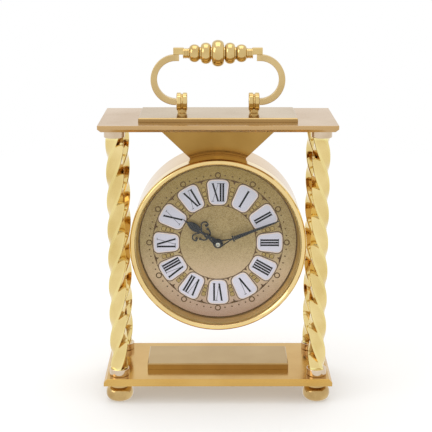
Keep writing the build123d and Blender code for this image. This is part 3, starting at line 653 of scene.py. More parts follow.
@dataclass(frozen=True)
class PolishedBrass:
    """Lacquered brass with a mirror polish, slightly uneven; its edges are brighter, partly as wear and
    partly as a painted highlight.
    """

    name: str
    light: Colour
    deep: Colour
    smooth: float = 0.07
    rough: float = 0.15
    patch_scale: float = 45.0
    contrast: float = 2.2
    wave: float = 0.12
    depth: float = 0.0004
    rub_and_highlight: float = 1.15
    rub_and_highlight_range: Point2 = (0.52, 0.62)

    def relief(self, board: Board) -> None:
        """Gives the surface the slow waves of hand polishing."""
        board.bump(board.effect(Effect.POLISH, Scale=self.patch_scale * 4), self.wave, self.depth)

    def build(self) -> Material:
        """Builds the material.

        Returns:
            The material.
        """
        board = Board(self.name)
        start, end = self.rub_and_highlight_range
        mask = board.effect(Effect.TARNISH, Scale=self.patch_scale, Contrast=self.contrast)
        toned = board.mix(mask, self.light, self.deep)
        # Painted highlight and wear: the pointed edges take a brighter copy of the light colour.
        rubbed_highlight = tuple(min(1.0, part * self.rub_and_highlight) for part in self.light)
        worn = board.mix(board.effect(Effect.WEAR, Start=start, End=end), toned, rubbed_highlight)
        rough = board.spread(mask, target=(self.smooth, self.rough))
        board.set(Base_Color=worn, Metallic=1.0, Roughness=rough)
        self.relief(board)
        return board.material


@dataclass(frozen=True)
class BrushedBrass(PolishedBrass):
    """Lacquered brass finished with fine straight lines."""

    smooth: float = 0.12
    rough: float = 0.24
    patch_scale: float = 25.0
    contrast: float = 2.0
    wave: float = 0.04
    depth: float = 0.0001
    rub_and_highlight: float = 1.12

    def relief(self, board: Board) -> None:
        """Gives the surface its fine lines."""
        board.bump(board.effect(Effect.BRUSH), self.wave, self.depth)


@dataclass(frozen=True)
class SatinGilt:
    """The dial's satin gilding with fine curls engraved in it; its tone, olive above and pinker below, is a
    painted reflection that changes with height.
    """

    name: str
    # Painted reflection: these tones, olive above and pinker below, change with the dial's height.
    painted_reflection_tones: tuple[tuple[float, Colour], ...] = (
        (0.03, srgb(194, 162, 146)),
        (0.28, srgb(214, 186, 154)),
        (0.48, srgb(184, 161, 118)),
        (0.68, srgb(176, 152, 108)),
        (0.93, srgb(172, 146, 90)),
    )
    painted_reflection_heights: Point2 = (0.050, 0.150)
    shade: Colour = srgb(128, 102, 58)
    curl_scale: float = 620.0
    curl_heights: Point2 = (0.082, 0.104)
    curl_shares: Point2 = (0.12, 0.5)
    roughness: Point2 = (0.42, 0.55)
    metallic: float = 0.5
    relief: Point2 = (0.2, 0.00006)

    def build(self) -> Material:
        """Builds the material.

        Returns:
            The material.
        """
        board = Board(self.name)
        # Painted reflection: the gilding's colour ramps with height, olive above and pinker below.
        painted_light_gradient = board.ramp(board.rise(*self.painted_reflection_heights), self.painted_reflection_tones)
        curls = board.effect(Effect.CURLS, Scale=self.curl_scale)
        upper = board.spread(board.rise(*self.curl_heights), target=self.curl_shares)
        toned = board.mix(board.calculate("MULTIPLY", curls, upper), painted_light_gradient, self.shade)
        rough = board.spread(curls, target=self.roughness)
        board.set(Base_Color=toned, Metallic=self.metallic, Roughness=rough)
        board.bump(curls, *self.relief)
        return board.material


@dataclass(frozen=True)
class Enamel:
    """Glossy lilac-white enamel, with painted shade: lighter at the bottom of the dial and greyer towards the
    top.
    """

    name: str
    # Painted shade: low is the lighter colour at the bottom of the dial, high the greyer one at the top.
    low: Colour = srgb(226, 220, 240)
    high: Colour = srgb(196, 194, 210)
    painted_shade_heights: Point2 = (0.065, 0.140)
    shade: Colour = srgb(204, 200, 214)
    shade_share: float = 0.4
    patch_scale: float = 260.0
    contrast: float = 1.8
    roughness: Point2 = (0.18, 0.3)
    coat: float = 0.4
    coat_roughness: float = 0.08
    wave_scale: float = 500.0
    relief: Point2 = (0.06, 0.0002)

    def build(self) -> Material:
        """Builds the material.

        Returns:
            The material.
        """
        board = Board(self.name)
        # Painted shade: the enamel ramps from lighter at the bottom to greyer at the top.
        painted_light_gradient = board.mix(board.rise(*self.painted_shade_heights), self.low, self.high)
        patches = board.effect(Effect.TARNISH, Scale=self.patch_scale, Contrast=self.contrast)
        toned = board.mix(board.spread(patches, target=(0.0, self.shade_share)), painted_light_gradient, self.shade)
        rough = board.spread(patches, target=self.roughness)
        board.set(Base_Color=toned, Metallic=0.0, Roughness=rough)
        board.set(Coat_Weight=self.coat, Coat_Roughness=self.coat_roughness)
        board.bump(board.effect(Effect.POLISH, Scale=self.wave_scale), *self.relief)
        return board.material


@dataclass(frozen=True)
class Toned:
    """A finish of two close tones in soft patches, over a fine texture."""

    name: str
    colour: Colour
    shade: Colour
    roughness: float = 0.5
    roughness_spread: float = 0.0
    metallic: float = 0.0
    patch_scale: float = 700.0
    contrast: float = 2.5
    texture: Effect = Effect.GRAIN
    texture_scale: float = 6000.0
    texture_strength: float = 0.2
    texture_depth: float = 0.00002

    def tone(self, board: Board, patches: Socket) -> Socket:
        """The two tones in patches."""
        return board.mix(patches, self.colour, self.shade)

    def build(self) -> Material:
        """Builds the material.

        Returns:
            The material.
        """
        board = Board(self.name)
        patches = board.effect(Effect.TARNISH, Scale=self.patch_scale, Contrast=self.contrast)
        rough: Socket | float = self.roughness
        if self.roughness_spread:
            rough = board.spread(patches, target=(self.roughness, self.roughness + self.roughness_spread))
        board.set(Base_Color=self.tone(board, patches), Metallic=self.metallic, Roughness=rough)
        height = board.effect(self.texture, Scale=self.texture_scale)
        board.bump(height, self.texture_strength, self.texture_depth)
        return board.material


@dataclass(frozen=True)
class Printed(Toned):
    """Printed or filled lines on the dial, uneven as old ink is."""


@dataclass(frozen=True)
class Lacquer(Toned):
    """Gloss lacquer over thin metal or plastic, worn grey on its edges."""

    roughness_spread: float = 0.1
    patch_scale: float = 180.0
    contrast: float = 1.8
    texture: Effect = Effect.POLISH
    texture_scale: float = 700.0
    texture_strength: float = 0.08
    texture_depth: float = 0.0001
    bare: Colour = srgb(120, 122, 130)
    wear_share: float = 0.15

    def tone(self, board: Board, patches: Socket) -> Socket:
        """The two tones in patches, and the bare edges."""
        worn = board.spread(board.effect(Effect.WEAR), target=(0.0, self.wear_share))
        return board.mix(worn, board.mix(patches, self.colour, self.shade), self.bare)


@dataclass(frozen=True)
class Plating(Toned):
    """Bright plating or bare metal on small pieces."""

    roughness_spread: float = 0.12
    metallic: float = 1.0
    patch_scale: float = 300.0
    contrast: float = 2.0
    texture_scale: float = 3000.0
    texture_strength: float = 0.1
    texture_depth: float = 0.00003


@dataclass(frozen=True)
class Moulded(Toned):
    """Moulded plastic with a fine spark-eroded texture."""

    roughness_spread: float = 0.1
    patch_scale: float = 80.0
    contrast: float = 1.5
    texture_scale: float = 3500.0
    texture_strength: float = 0.35
    texture_depth: float = 0.00005


@dataclass(frozen=True)
class ClearGlass:
    """The thin flat glass, which lets light through without bending it."""

    name: str
    body: Colour = (0.98, 0.99, 0.98)
    tint: Colour = (0.97, 0.98, 0.97)
    ior: float = 1.45
    gloss: float = 0.02
    gloss_ior: float = 1.25

    def build(self) -> Material:
        """Builds the material.

        Returns:
            The material.
        """
        board = Board(self.name)
        board.set(Base_Color=rgba(self.body), Metallic=0.0, Roughness=0.0)
        board.set(IOR=self.ior, Transmission_Weight=1.0)
        clear = board.add("BsdfTransparent", {"Color": rgba(self.tint)}).outputs[0]
        mirror = board.add("BsdfGlossy", {"Roughness": self.gloss}).outputs[0]
        slant = board.add("Fresnel", {"IOR": self.gloss_ior}).outputs[0]
        front = board.calculate("SUBTRACT", 1.0, board.add("NewGeometry").outputs["Backfacing"])
        board.show(board.blend(board.calculate("MULTIPLY", slant, front), clear, mirror))
        return board.material


class Finishes:
    """Every finish of the clock, built once."""

    def __init__(self) -> None:
        """Builds the materials."""
        # The columns' strong edge brightening is a painted highlight along the twisted ridges as well as
        # wear.
        self.column = PolishedBrass(
            "column_brass", srgb(236, 214, 152), srgb(214, 186, 116), rub_and_highlight=1.4, rub_and_highlight_range=(0.505, 0.57)
        ).build()
        self.turned = PolishedBrass(
            "turned_brass", srgb(220, 194, 136), srgb(198, 168, 108), patch_scale=90.0
        ).build()
        self.ring = PolishedBrass(
            "collar_brass", srgb(222, 204, 180), srgb(204, 182, 154), patch_scale=90.0
        ).build()
        self.strap = PolishedBrass(
            "strap_brass", srgb(216, 190, 138), srgb(200, 172, 118), smooth=0.3, rough=0.42, wave=0.05
        ).build()
        self.drum = PolishedBrass(
            "drum_brass", srgb(222, 188, 132), srgb(206, 166, 106), patch_scale=20.0, wave=0.05
        ).build()
        self.bezel = PolishedBrass(
            "bezel_brass", srgb(240, 214, 154), srgb(226, 196, 132), smooth=0.1, patch_scale=30.0, wave=0.05
        ).build()
        self.slope = PolishedBrass(
            "ring_brass", srgb(234, 210, 152), srgb(220, 192, 130), smooth=0.35, rough=0.45, wave=0.05
        ).build()
        self.foot = PolishedBrass(
            "foot_brass", srgb(208, 178, 122), srgb(176, 144, 92), rough=0.2, patch_scale=90.0
        ).build()
        self.plate = BrushedBrass("plate_brass", srgb(214, 176, 104), srgb(196, 154, 80)).build()
        # Painted shade: the top plate's brass is a darker, duller copy of the base plate's brass, standing in
        # for the dark reflection on its top face.
        self.top = BrushedBrass("shaded_top_brass", srgb(202, 168, 120), srgb(184, 148, 98)).build()
        self.pad = BrushedBrass("pad_brass", srgb(190, 162, 112), srgb(172, 142, 90)).build()
        self.wedge = BrushedBrass("wedge_brass", srgb(178, 140, 76), srgb(150, 112, 52)).build()
        self.cover = BrushedBrass(
            "cover_brass", srgb(208, 172, 108), srgb(186, 148, 84), smooth=0.25, rough=0.35
        ).build()
        self.dial = SatinGilt("dial_gilt").build()
        self.enamel = Enamel("white_enamel").build()
        self.rim = Printed("enamel_rim", srgb(238, 220, 212), srgb(226, 204, 198), 0.3).build()
        self.ink = Printed("numeral_ink", srgb(3, 3, 12), srgb(10, 10, 20), 0.6).build()
        self.hairline = Printed("hairline_ink", srgb(92, 94, 102), srgb(126, 128, 136)).build()
        self.outline = Printed("plaque_outline", srgb(92, 72, 58), srgb(116, 94, 76)).build()
        self.engraving = Printed("dial_engraving", srgb(86, 60, 26), srgb(110, 80, 42)).build()
        self.spandrel = Printed("dial_spandrel", srgb(84, 54, 26), srgb(104, 72, 40)).build()
        self.tile = Printed("dial_tile", srgb(184, 158, 100), srgb(168, 140, 84), 0.35).build()
        self.blued = Lacquer("blued_steel", srgb(12, 13, 18), srgb(6, 6, 10)).build()
        self.board = Lacquer("board_lacquer", srgb(34, 96, 58), srgb(28, 82, 48), 0.3).build()
        self.sleeve = Lacquer("battery_sleeve", srgb(44, 46, 54), srgb(34, 36, 42), 0.25).build()
        self.nickel = Plating("nickel", srgb(214, 212, 204), srgb(186, 184, 176), 0.15).build()
        self.zinc = Plating("zinc_steel", srgb(190, 190, 188), srgb(160, 160, 158), 0.28).build()
        self.copper = Plating("copper_wire", srgb(206, 120, 74), srgb(176, 92, 52), 0.3).build()
        self.black = Moulded("black_plastic", srgb(38, 38, 40), srgb(30, 30, 32)).build()
        self.white = Moulded("white_plastic", srgb(226, 222, 208), srgb(214, 210, 196), 0.4).build()
        self.glass = ClearGlass("clear_glass").build()


def dress(node: str, material: Material) -> None:
    """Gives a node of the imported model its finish.

    Args:
        node: The node's name.
        material: The finish.
    """
    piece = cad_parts[node]
    if not piece.material_slots:
        piece.data.materials.append(material)
    for slot in piece.material_slots:
        slot.material = material
    LOG.info("dressed %s with %s", node, material.name)


@dataclass
class PlateStack:
    """The two bevelled plates and the raised pads on them."""

    finishes: Finishes
    width: float = 140.0
    depth: float = 66.0
    thickness: float = 4.0
    bevel: float = 1.8
    base_bottom: float = 12.0
    top_bottom: float = TOP_PLATE_BOTTOM
    base_pad: Point3 = (88.0, 31.0, 4.0)
    top_pad: Point3 = (94.0, 42.0, 2.5)
    pad_bevel: float = 0.5
    edge: float = 0.12
    corner: float = 0.3
    face_limit: float = 0.45

    def slab(
        self, name: str, size: Point3, bottom: float, low: float, high: float, finish: Material
    ) -> None:
        """Builds one plate with bevels below or above.

        Args:
            name: The node that it replaces.
            size: Width, depth and thickness.
            bottom: Height of its underside.
            low: Bevel along the lower edges.
            high: Bevel along the upper edges.
            finish: Its finish.
        """
        width, depth, thickness = size
        corners = [(low, 0.0), (0.0, low)] if low else [(0.0, 0.0)]
        corners += [(0.0, thickness - high), (high, thickness)] if high else [(0.0, thickness)]
        face = min(width / 5, depth * self.face_limit)
        profile = soften([(face, 0.0), *corners, (face, thickness)], self.edge, 3)
        mesh = PieceMesh()
        mesh.block(Basis.flat(0, 0, bottom), (width, depth), self.corner, profile)
        piece = mesh.make(name + "_body", finish, "frame")
        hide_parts(name)

    def build(self) -> None:
        """Builds the plates and pads."""
        plate = (self.width, self.depth, self.thickness)
        base_top, top_top = self.base_bottom + self.thickness, self.top_bottom + self.thickness
        self.slab("base_plate", plate, self.base_bottom, 0.0, self.bevel, self.finishes.plate)
        self.slab("base_pad", self.base_pad, base_top, 0.0, self.pad_bevel, self.finishes.pad)
        self.slab("top_plate", plate, self.top_bottom, self.bevel, 0.0, self.finishes.top)
        self.slab("top_pad", self.top_pad, top_top, 0.0, self.pad_bevel, self.finishes.pad)


@dataclass
class Pillar:
    """One corner of the frame: foot, collars and twisted column."""

    finishes: Finishes
    corner: str
    x: float
    y: float
    twist: Twist
    ridge: float
    side: float = 8.3
    land: float = 0.7
    ridge_rounding: float = 0.35
    lead: float = 70.5
    side_parts: int = 6
    levels: int = 150
    bottom: float = 16.0
    top: float = TOP_PLATE_BOTTOM
    collar_height: float = 4.4
    collar_radius: float = 6.1
    collar_face: float = 3.6
    collar_rounding: float = 0.45
    foot_height: float = 12.0
    foot_radius: float = 8.35
    foot_roundness: float = 2.2
    sole_radius: float = 4.6
    sole_edge: float = 0.3
    sole_lift: float = 0.05
    neck_radius: float = 5.9
    neck_height: float = 3.0
    neck_groove: float = 0.6
    neck_edge: Point2 = (0.3, 0.2)

    def outline(self) -> list[Point2]:
        """The bar's section, a narrow land at each corner and its sides divided.

        Returns:
            The section's corners in order.
        """
        bar = rectangle(self.side, self.side, self.land, 1)
        section = soften(bar, self.ridge_rounding, 3, closed=True)
        result: list[Point2] = []
        for here, following in zip(section, [*section[1:], section[0]]):
            result.append(here)
            if hypot(following[0] - here[0], following[1] - here[1]) > self.side / 3:
                result += [between(here, following, share) for share in spaced(0, 1, self.side_parts)[1:-1]]
        return result

    def column(self) -> None:
        """Builds the twisted bar between the two collars."""
        outline = self.outline()
        low = self.bottom + self.collar_height
        high = self.top - self.collar_height
        rings = []
        for height in spaced(low, high, self.levels):
            turn = radians(self.ridge - 45.0) + self.twist.value * 2 * pi * (height - low) / self.lead
            ring = []
            for u, v in outline:
                x = self.x + u * cos(turn) - v * sin(turn)
                y = self.y + u * sin(turn) + v * cos(turn)
                ring.append(Vector((x, y, height)) * MM)
            rings.append(ring)
        mesh = PieceMesh()
        mesh.rings(rings)
        piece = mesh.make("twisted_bar_" + self.corner, self.finishes.column, "frame")
        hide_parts("column_" + self.corner)

    def collar(self, level: str, bottom: float) -> None:
        """Builds one collar with rounded rims.

        Args:
            level: lower or upper.
            bottom: Height of its underside.
        """
        radius, height, face = self.collar_radius, self.collar_height, self.collar_face
        section = soften([(0, face), (0, radius), (height, radius), (height, face)], self.collar_rounding)
        mesh = PieceMesh()
        mesh.turn(Axis.Z, Vector((self.x, self.y, bottom)), section)
        piece = mesh.make(level + "_ring_" + self.corner, self.finishes.ring, "frame")
        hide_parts(level + "_collar_" + self.corner)

    def foot(self) -> None:
        """Builds the bun foot and its neck."""
        top, neck = self.foot_height, self.neck_radius
        neck_bottom = top - self.neck_height
        bun_top = neck_bottom - self.neck_groove
        middle = bun_top / 2
        section: list[Point2] = [(0.0, AXIS_HOLE), (0.0, self.sole_radius - self.sole_edge)]
        for height in spaced(self.sole_lift, bun_top, 24):
            share = (height - middle) / middle
            edge = self.sole_radius if share < 0 else neck
            curve = sqrt(max(0.0, 1 - abs(share) ** self.foot_roundness))
            section.append((height, edge + (self.foot_radius - edge) * curve))
        section += [(bun_top + self.neck_groove / 2, neck - self.neck_groove), (neck_bottom, neck)]
        section += [(top - self.neck_edge[0], neck), (top, neck - self.neck_edge[1]), (top, AXIS_HOLE)]
        mesh = PieceMesh()
        mesh.turn(Axis.Z, Vector((self.x, self.y, 0)), section)
        piece = mesh.make("bun_" + self.corner, self.finishes.foot, "frame")
        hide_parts("foot_" + self.corner)

    def build(self) -> None:
        """Builds the whole pillar."""
        self.foot()
        self.collar("lower", self.bottom)
        self.column()
        self.collar("upper", self.top - self.collar_height)


@dataclass
class Drum:
    """The round case, its bezel and glass, and the wedge that it hangs from."""

    finishes: Finishes
    height: float = AXIS_HEIGHT
    bezel_front: float = -24.0
    bezel_back: float = -12.5
    bezel_radius: float = 53.4
    back_edge: float = 0.2
    window: float = 50.1
    bore: float = 50.6
    lip: float = 2.5
    shoulder: Point2 = (2.3, 1.9)
    knee: Point2 = (1.0, 0.05)
    lip_rounding: float = 0.5
    spigot: float = 2.4
    spigot_radius: float = 51.5
    drum_radius: float = 53.0
    drum_wall: float = 1.4
    drum_front: float = -12.2
    drum_back: float = 23.8
    drum_rounding: float = 0.5
    ledge_front: float = -9.8
    ledge_back: float = -8.6
    ledge_radius: float = 47.0
    glass_back: float = -20.3
    dial_front: float = DIAL_FRONT
    insert: float = 50.5
    ring_top: float = 49.8
    ring_foot: float = 48.4
    ring_foot_height: float = 2.2
    edge: float = 0.12
    wedge_top: float = TOP_PLATE_BOTTOM
    wedge_half: Point2 = (39.0, 17.0)
    wedge_middle: float = 5.8
    wedge_depth: float = 19.0
    wedge_lip: float = 0.25

    @property
    def middle(self) -> Vector:
        """A point on the dial's axis."""
        return Vector((0, 0, self.height))

    def bezel(self) -> None:
        """Builds the bezel: a rounded rim, a face that slopes in, and a short step down to the glass."""
        front, back, outer = self.bezel_front, self.bezel_back, self.bezel_radius
        depth, drop = self.shoulder
        rim = []
        for turn in spaced(0, pi / 2, 12):
            rim.append((front + depth * (1 - cos(turn)), outer - drop * (1 - sin(turn))))
        step_back, spigot_back = front + self.lip, back + self.spigot
        knee = (front + self.knee[0], self.window + self.knee[1])
        section = soften([(step_back, self.window), knee, rim[0], rim[2]], self.lip_rounding, 6) + rim[3:]
        section += [(back - self.back_edge, outer), (back, outer - self.back_edge)]
        section += [(back, self.spigot_radius), (spigot_back, self.spigot_radius)]
        section += [(spigot_back, self.bore), (step_back, self.bore)]
        mesh = PieceMesh()
        mesh.turn(Axis.Y, self.middle, section, looped=True, steps=192)
        piece = mesh.make("bezel_ring", self.finishes.bezel, "frame")
        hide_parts("bezel")

    def case(self) -> None:
        """Builds the drum with softened rims and the ledge inside."""
        inner = self.drum_radius - self.drum_wall
        front, back, outer = self.drum_front, self.drum_back, self.drum_radius
        section = [(front, inner), (front, outer), (back, outer), (back, inner)]
        section += [(self.ledge_back, inner), (self.ledge_back, self.ledge_radius)]
        section += [(self.ledge_front, self.ledge_radius), (self.ledge_front, inner)]
        section = soften(section, self.drum_rounding, closed=True)
        mesh = PieceMesh()
        mesh.turn(Axis.Y, self.middle, section, looped=True, steps=160)
        piece = mesh.make("drum_shell", self.finishes.drum, "frame")
        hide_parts("drum_case")

    def slope(self) -> None:
        """Builds the ring between the glass and the dial: it slopes in and ends in an upright wall."""
        glass, dial, foot = self.glass_back, self.dial_front, self.ring_foot
        section = [(glass, self.ring_top), (glass, self.insert), (dial, self.insert)]
        section += [(dial, foot), (dial - self.ring_foot_height, foot)]
        section = soften(section, self.edge, 2, closed=True)
        mesh = PieceMesh()
        mesh.turn(Axis.Y, self.middle, section, looped=True, steps=192)
        piece = mesh.make("sloping_ring", self.finishes.slope, "frame")
        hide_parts("dial_ring")

    def wedge(self) -> None:
        """Builds the wedge, its lower side following the drum."""
        top_half, low_half = self.wedge_half
        top, reach = self.wedge_top - self.height, self.drum_radius
        edge = asin(low_half / reach)
        curve = [(reach * sin(turn), reach * cos(turn)) for turn in spaced(-edge, edge, 24)]
        outline = [*curve, (top_half, top), (-top_half, top)]
        lip, depth = self.wedge_lip, self.wedge_depth
        profile = soften([(lip, 0.0), (0.0, 0.0), (0.0, depth), (lip, depth)], self.edge, 3)
        mesh = PieceMesh()
        mesh.prism(Basis.facing(0, self.wedge_middle + depth / 2, self.height), outline, profile)
        piece = mesh.make("hanging_wedge", self.finishes.wedge, "frame")
        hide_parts("hanger_bracket")

    def build(self) -> None:
        """Builds the drum and what belongs to it."""
        self.case()
        self.bezel()
        self.slope()
        self.wedge()
        dress("bezel_glass", self.finishes.glass)
        dress("dial_spacer", self.finishes.black)
        dress("rear_cover", self.finishes.cover)


class Stroke(Enum):
    """The strokes of Roman numerals, as the places of their foot and their head from -1 to 1."""

    UPRIGHT = (0, 0)
    FALLING = (1, -1)
    RISING = (-1, 1)
    FALLING_HALF = (0, -1)
    RISING_HALF = (0, 1)


@dataclass
class Dial:
    """The gilt dial: its plaques, numerals, rings, tiles and minute marks.

    A profile is pairs of inset and height, a section pairs of distance along the axis and radius, and
    a spandrel half an outline of radius and place across. Rings and tile rows are radius and width.
    """

    finishes: Finishes
    height: float = AXIS_HEIGHT
    front: float = DIAL_FRONT
    outer: float = 39.4
    inner: float = 23.7
    outer_width: float = 13.8
    inner_width: float = 10.1
    corner: float = 3.4
    arch_reach: float = 1.2
    long_side: float = 3.0
    plaque: float = 0.5
    plaque_profile: tuple[Point2, ...] = (
        (1.0, 0.0), (0.0, 0.0), (0.0, 0.2), (0.12, 0.38), (0.4, 0.48), (1.0, 0.5)
    )
    rim_profile: tuple[Point2, ...] = ((-0.02, 0.25), (0.1, 0.42), (0.38, 0.505), (0.6, 0.52), (0.62, 0.4))
    line_width: float = 0.6
    line_profile: tuple[Point2, ...] = ((0.0, 0.0), (0.0, 0.1), (0.1, 0.16), (0.3, 0.16))
    numerals: tuple[str, ...] = ("I", "II", "III", "IIII", "V", "VI", "VII", "VIII", "IX", "X", "XI", "XII")
    numeral_low: float = 26.0
    numeral_high: float = 37.0
    thick: float = 1.1
    thin: float = 0.32
    letter_width: float = 4.4
    letter_gap: float = 0.5
    letter_overlap: float = 0.35
    ink: float = 0.03
    serif_share: float = 0.8
    serif_half: float = 0.75
    upright_serif_half: float = 0.85
    ring_gaps: Point2 = (0.55, 0.15)
    ring_width: float = 0.4
    # Painted shadow: a dark ring at the dial's edge stands for the shade where the dial meets the sloping
    # ring.
    painted_shadow_ring: Point2 = (47.6, 0.8)
    engraving: float = 0.05
    circle_radius: float = 41.9
    circle_section: tuple[Point2, ...] = ((0.0, 1.2), (0.0, 1.9), (-0.1, 1.8), (-0.1, 1.3))
    dot_section: tuple[Point2, ...] = ((0.0, 0.5), (-0.05, 0.45), (-0.06, AXIS_HOLE))
    tile_rows: tuple[Point2, ...] = ((28.9, 1.7), (31.4, 2.1), (34.1, 2.2))
    tile_corner: float = 0.35
    tile_line: float = 0.3
    tile_profile: tuple[Point2, ...] = ((0.0, 0.0), (0.0, 0.1), (0.12, 0.16), (0.22, 0.18))
    outer_spandrel: tuple[Point2, ...] = (
        (37.2, 0.0), (38.7, 0.6), (39.05, 1.6), (39.0, 3.2), (39.55, 1.8), (39.75, 0.0)
    )
    inner_spandrel: tuple[Point2, ...] = (
        (23.1, 0.0), (23.05, 0.9), (22.9, 2.0), (23.7, 0.9), (24.2, 0.5), (25.3, 0.0)
    )
    spandrel_height: float = 0.06

    @property
    def spread(self) -> float:
        """How far a sloping stroke's ends stand from the middle of its letter."""
        return (self.letter_width - self.thick) / 2

    def keystone(self) -> list[Point2]:
        """The outline of one plaque, outwards along the first coordinate, its outer side arched.

        Returns:
            Its corners in order.
        """
        half = asin(self.outer_width / 2 / self.outer)
        end, side = self.outer * cos(half), self.outer * sin(half)
        bulge = self.outer - end
        foot = self.inner_width / 2
        corners = [(self.inner, -foot), (end, -side), (end, side), (self.inner, foot)]
        arched = []
        for u, v in soften(corners, self.corner, 6, closed=True):
            share = max(0.0, (u - end + self.arch_reach) / self.arch_reach)
            arched.append((u + share * bulge * (1 - (2 * v / self.outer_width) ** 2), v))
        filled: list[Point2] = []
        for here, following in zip(arched, [*arched[1:], arched[0]]):
            filled.append(here)
            if abs(following[1] - here[1]) > self.long_side and here[0] > self.numeral_high:
                for v in spaced(here[1], following[1], 6)[1:-1]:
                    filled.append((end + bulge * (1 - (2 * v / self.outer_width) ** 2), v))
        return filled

    def plaques(self) -> None:
        """Builds the plaques with softly domed edges, the dark line round each, and its rim."""
        enamel, line, rim = PieceMesh(), PieceMesh(), PieceMesh()
        outline = self.keystone()
        for hour in range(12):
            basis = Basis.polar(self.front, self.height, 30.0 * hour)
            enamel.prism(basis, outline, self.plaque_profile)
            line.prism(basis, inset(outline, -self.line_width), self.line_profile)
            steps = [[basis.at(u, v, h) for u, v in inset(outline, d)] for d, h in self.rim_profile]
            rim.rings(steps, capped=False)
        piece = enamel.make("enamel_plaques", self.finishes.enamel, "frame")
        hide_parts("numeral_plaques")
        line.make("plaque_outlines", self.finishes.outline, "frame")
        rim.make("plaque_rims", self.finishes.rim, "frame")

    def stroke(self, mesh: PieceMesh, basis: Basis, place: float, kind: Stroke, width: float) -> None:
        """Draws one stroke of a numeral.

        Args:
            mesh: The mesh that takes it.
            basis: The numeral's basis.
            place: Middle of the letter across the plaque.
            kind: Its slope.
            width: Its thickness.
        """
        foot, head = (place + end * self.spread for end in kind.value)
        half = width / 2
        quad = [(self.numeral_low, foot - half), (self.numeral_high, head - half)]
        quad += [(self.numeral_high, head + half), (self.numeral_low, foot + half)]
        mesh.sheet(basis, quad, self.ink)

    def serif(self, mesh: PieceMesh, basis: Basis, radius: float, start: float, end: float) -> None:
        """Draws a thin line across the ends of strokes.

        Args:
            mesh: The mesh that takes it.
            basis: The numeral's basis.
            radius: Its distance from the dial's middle.
            start: Where it starts across the plaque.
            end: Where it ends.
        """
        half = self.thin / 2
        quad = [(radius - half, start), (radius + half, start), (radius + half, end), (radius - half, end)]
        mesh.sheet(basis, quad, self.ink * self.serif_share)

    def letter(self, ink: PieceMesh, hair: PieceMesh, basis: Basis, text: str, place: float) -> None:
        """Draws an X or a V: a thick stroke, a thin one, and serifs on their ends.

        Args:
            ink: The mesh that takes the thick strokes.
            hair: The mesh that takes the thin strokes.
            basis: The numeral's basis.
            text: The letter.
            place: Its middle across the plaque.
        """
        pairs = {"X": (Stroke.FALLING, Stroke.RISING), "V": (Stroke.FALLING_HALF, Stroke.RISING_HALF)}
        falling, rising = pairs[text]
        self.stroke(ink, basis, place, falling, self.thick)
        self.stroke(hair, basis, place, rising, self.thin)
        ends = {"X": (self.numeral_low, self.numeral_high), "V": (self.numeral_high,)}
        for radius in ends[text]:
            for side in (-1, 1):
                end = place + side * self.spread
                self.serif(ink, basis, radius, end - self.serif_half, end + self.serif_half)

    def numerals_and_hairlines(self) -> None:
        """Draws the twelve numerals, their feet towards the middle."""
        ink, hair = PieceMesh(), PieceMesh()
        for hour, text in enumerate(self.numerals, start=1):
            basis = Basis.polar(self.front - self.plaque, self.height, 30.0 * hour)
            widths = [self.thick if letter == "I" else self.letter_width for letter in text]
            pairs = zip(text, text[1:])
            gaps = [self.letter_gap if pair == ("I", "I") else self.letter_overlap for pair in pairs]
            cursor = -(sum(widths) + sum(gaps)) / 2
            uprights: list[float] = []
            for letter, width, gap in zip(text, widths, [*gaps, 0.0]):
                place = cursor + width / 2
                cursor += width + gap
                if letter == "I":
                    self.stroke(ink, basis, place, Stroke.UPRIGHT, self.thick)
                    uprights.append(place)
                else:
                    self.letter(ink, hair, basis, letter, place)
            if uprights:
                start, end = uprights[0] - self.upright_serif_half, uprights[-1] + self.upright_serif_half
                for radius in (self.numeral_low, self.numeral_high):
                    self.serif(ink, basis, radius, start, end)
        ink.make("numerals", self.finishes.ink, "frame")
        hair.make("numeral_hairlines", self.finishes.hairline, "frame")

    def rings(self) -> None:
        """Draws the engraved rings, the hour circles, the minute dots and a dark ring at the dial's edge that
        is a painted shadow.
        """
        marks_and_shadow_ring = PieceMesh()
        middle = Vector((0, self.front, self.height))
        inside, outside = self.ring_gaps
        width = self.ring_width
        # The last ring is the painted shadow at the dial's edge.
        for radius, wide in ((self.inner - inside, width), (self.outer + outside, width), self.painted_shadow_ring):
            high = -self.engraving
            section = [(0.0, radius), (0.0, radius + wide), (high, radius + wide), (high, radius)]
            marks_and_shadow_ring.turn(Axis.Y, middle, section, looped=True, steps=120)
        for minute in range(60):
            turn = radians(6.0 * minute)
            across, up = self.circle_radius * sin(turn), self.circle_radius * cos(turn)
            centre = Vector((across, self.front, self.height + up))
            if minute % 5 == 0:
                marks_and_shadow_ring.turn(Axis.Y, centre, self.circle_section, looped=True, steps=24)
            else:
                marks_and_shadow_ring.turn(Axis.Y, centre, self.dot_section, steps=12)
        marks_and_shadow_ring.make("engraved_marks_and_shadow_ring", self.finishes.engraving, "frame")

    def tiles(self) -> None:
        """Draws the three small tiles and the dark spandrels between neighbouring plaques."""
        tiles, lines, dark = PieceMesh(), PieceMesh(), PieceMesh()
        for gap in range(12):
            basis = Basis.polar(self.front, self.height, 30.0 * gap + 15.0)
            for radius, size in self.tile_rows:
                half = size / 2
                square = [(radius - half, -half), (radius + half, -half)]
                square += [(radius + half, half), (radius - half, half)]
                square = soften(square, self.tile_corner, 3, closed=True)
                lines.sheet(basis, inset(square, -self.tile_line), self.engraving)
                tiles.prism(basis, square, self.tile_profile)
            for outline in (self.outer_spandrel, self.inner_spandrel):
                whole = [*outline, *((u, -v) for u, v in reversed(outline) if v)]
                dark.sheet(basis, whole, self.spandrel_height)
        tiles.make("dial_tiles", self.finishes.tile, "frame")
        lines.make("tile_outlines", self.finishes.engraving, "frame")
        dark.make("dial_spandrels", self.finishes.spandrel, "frame")

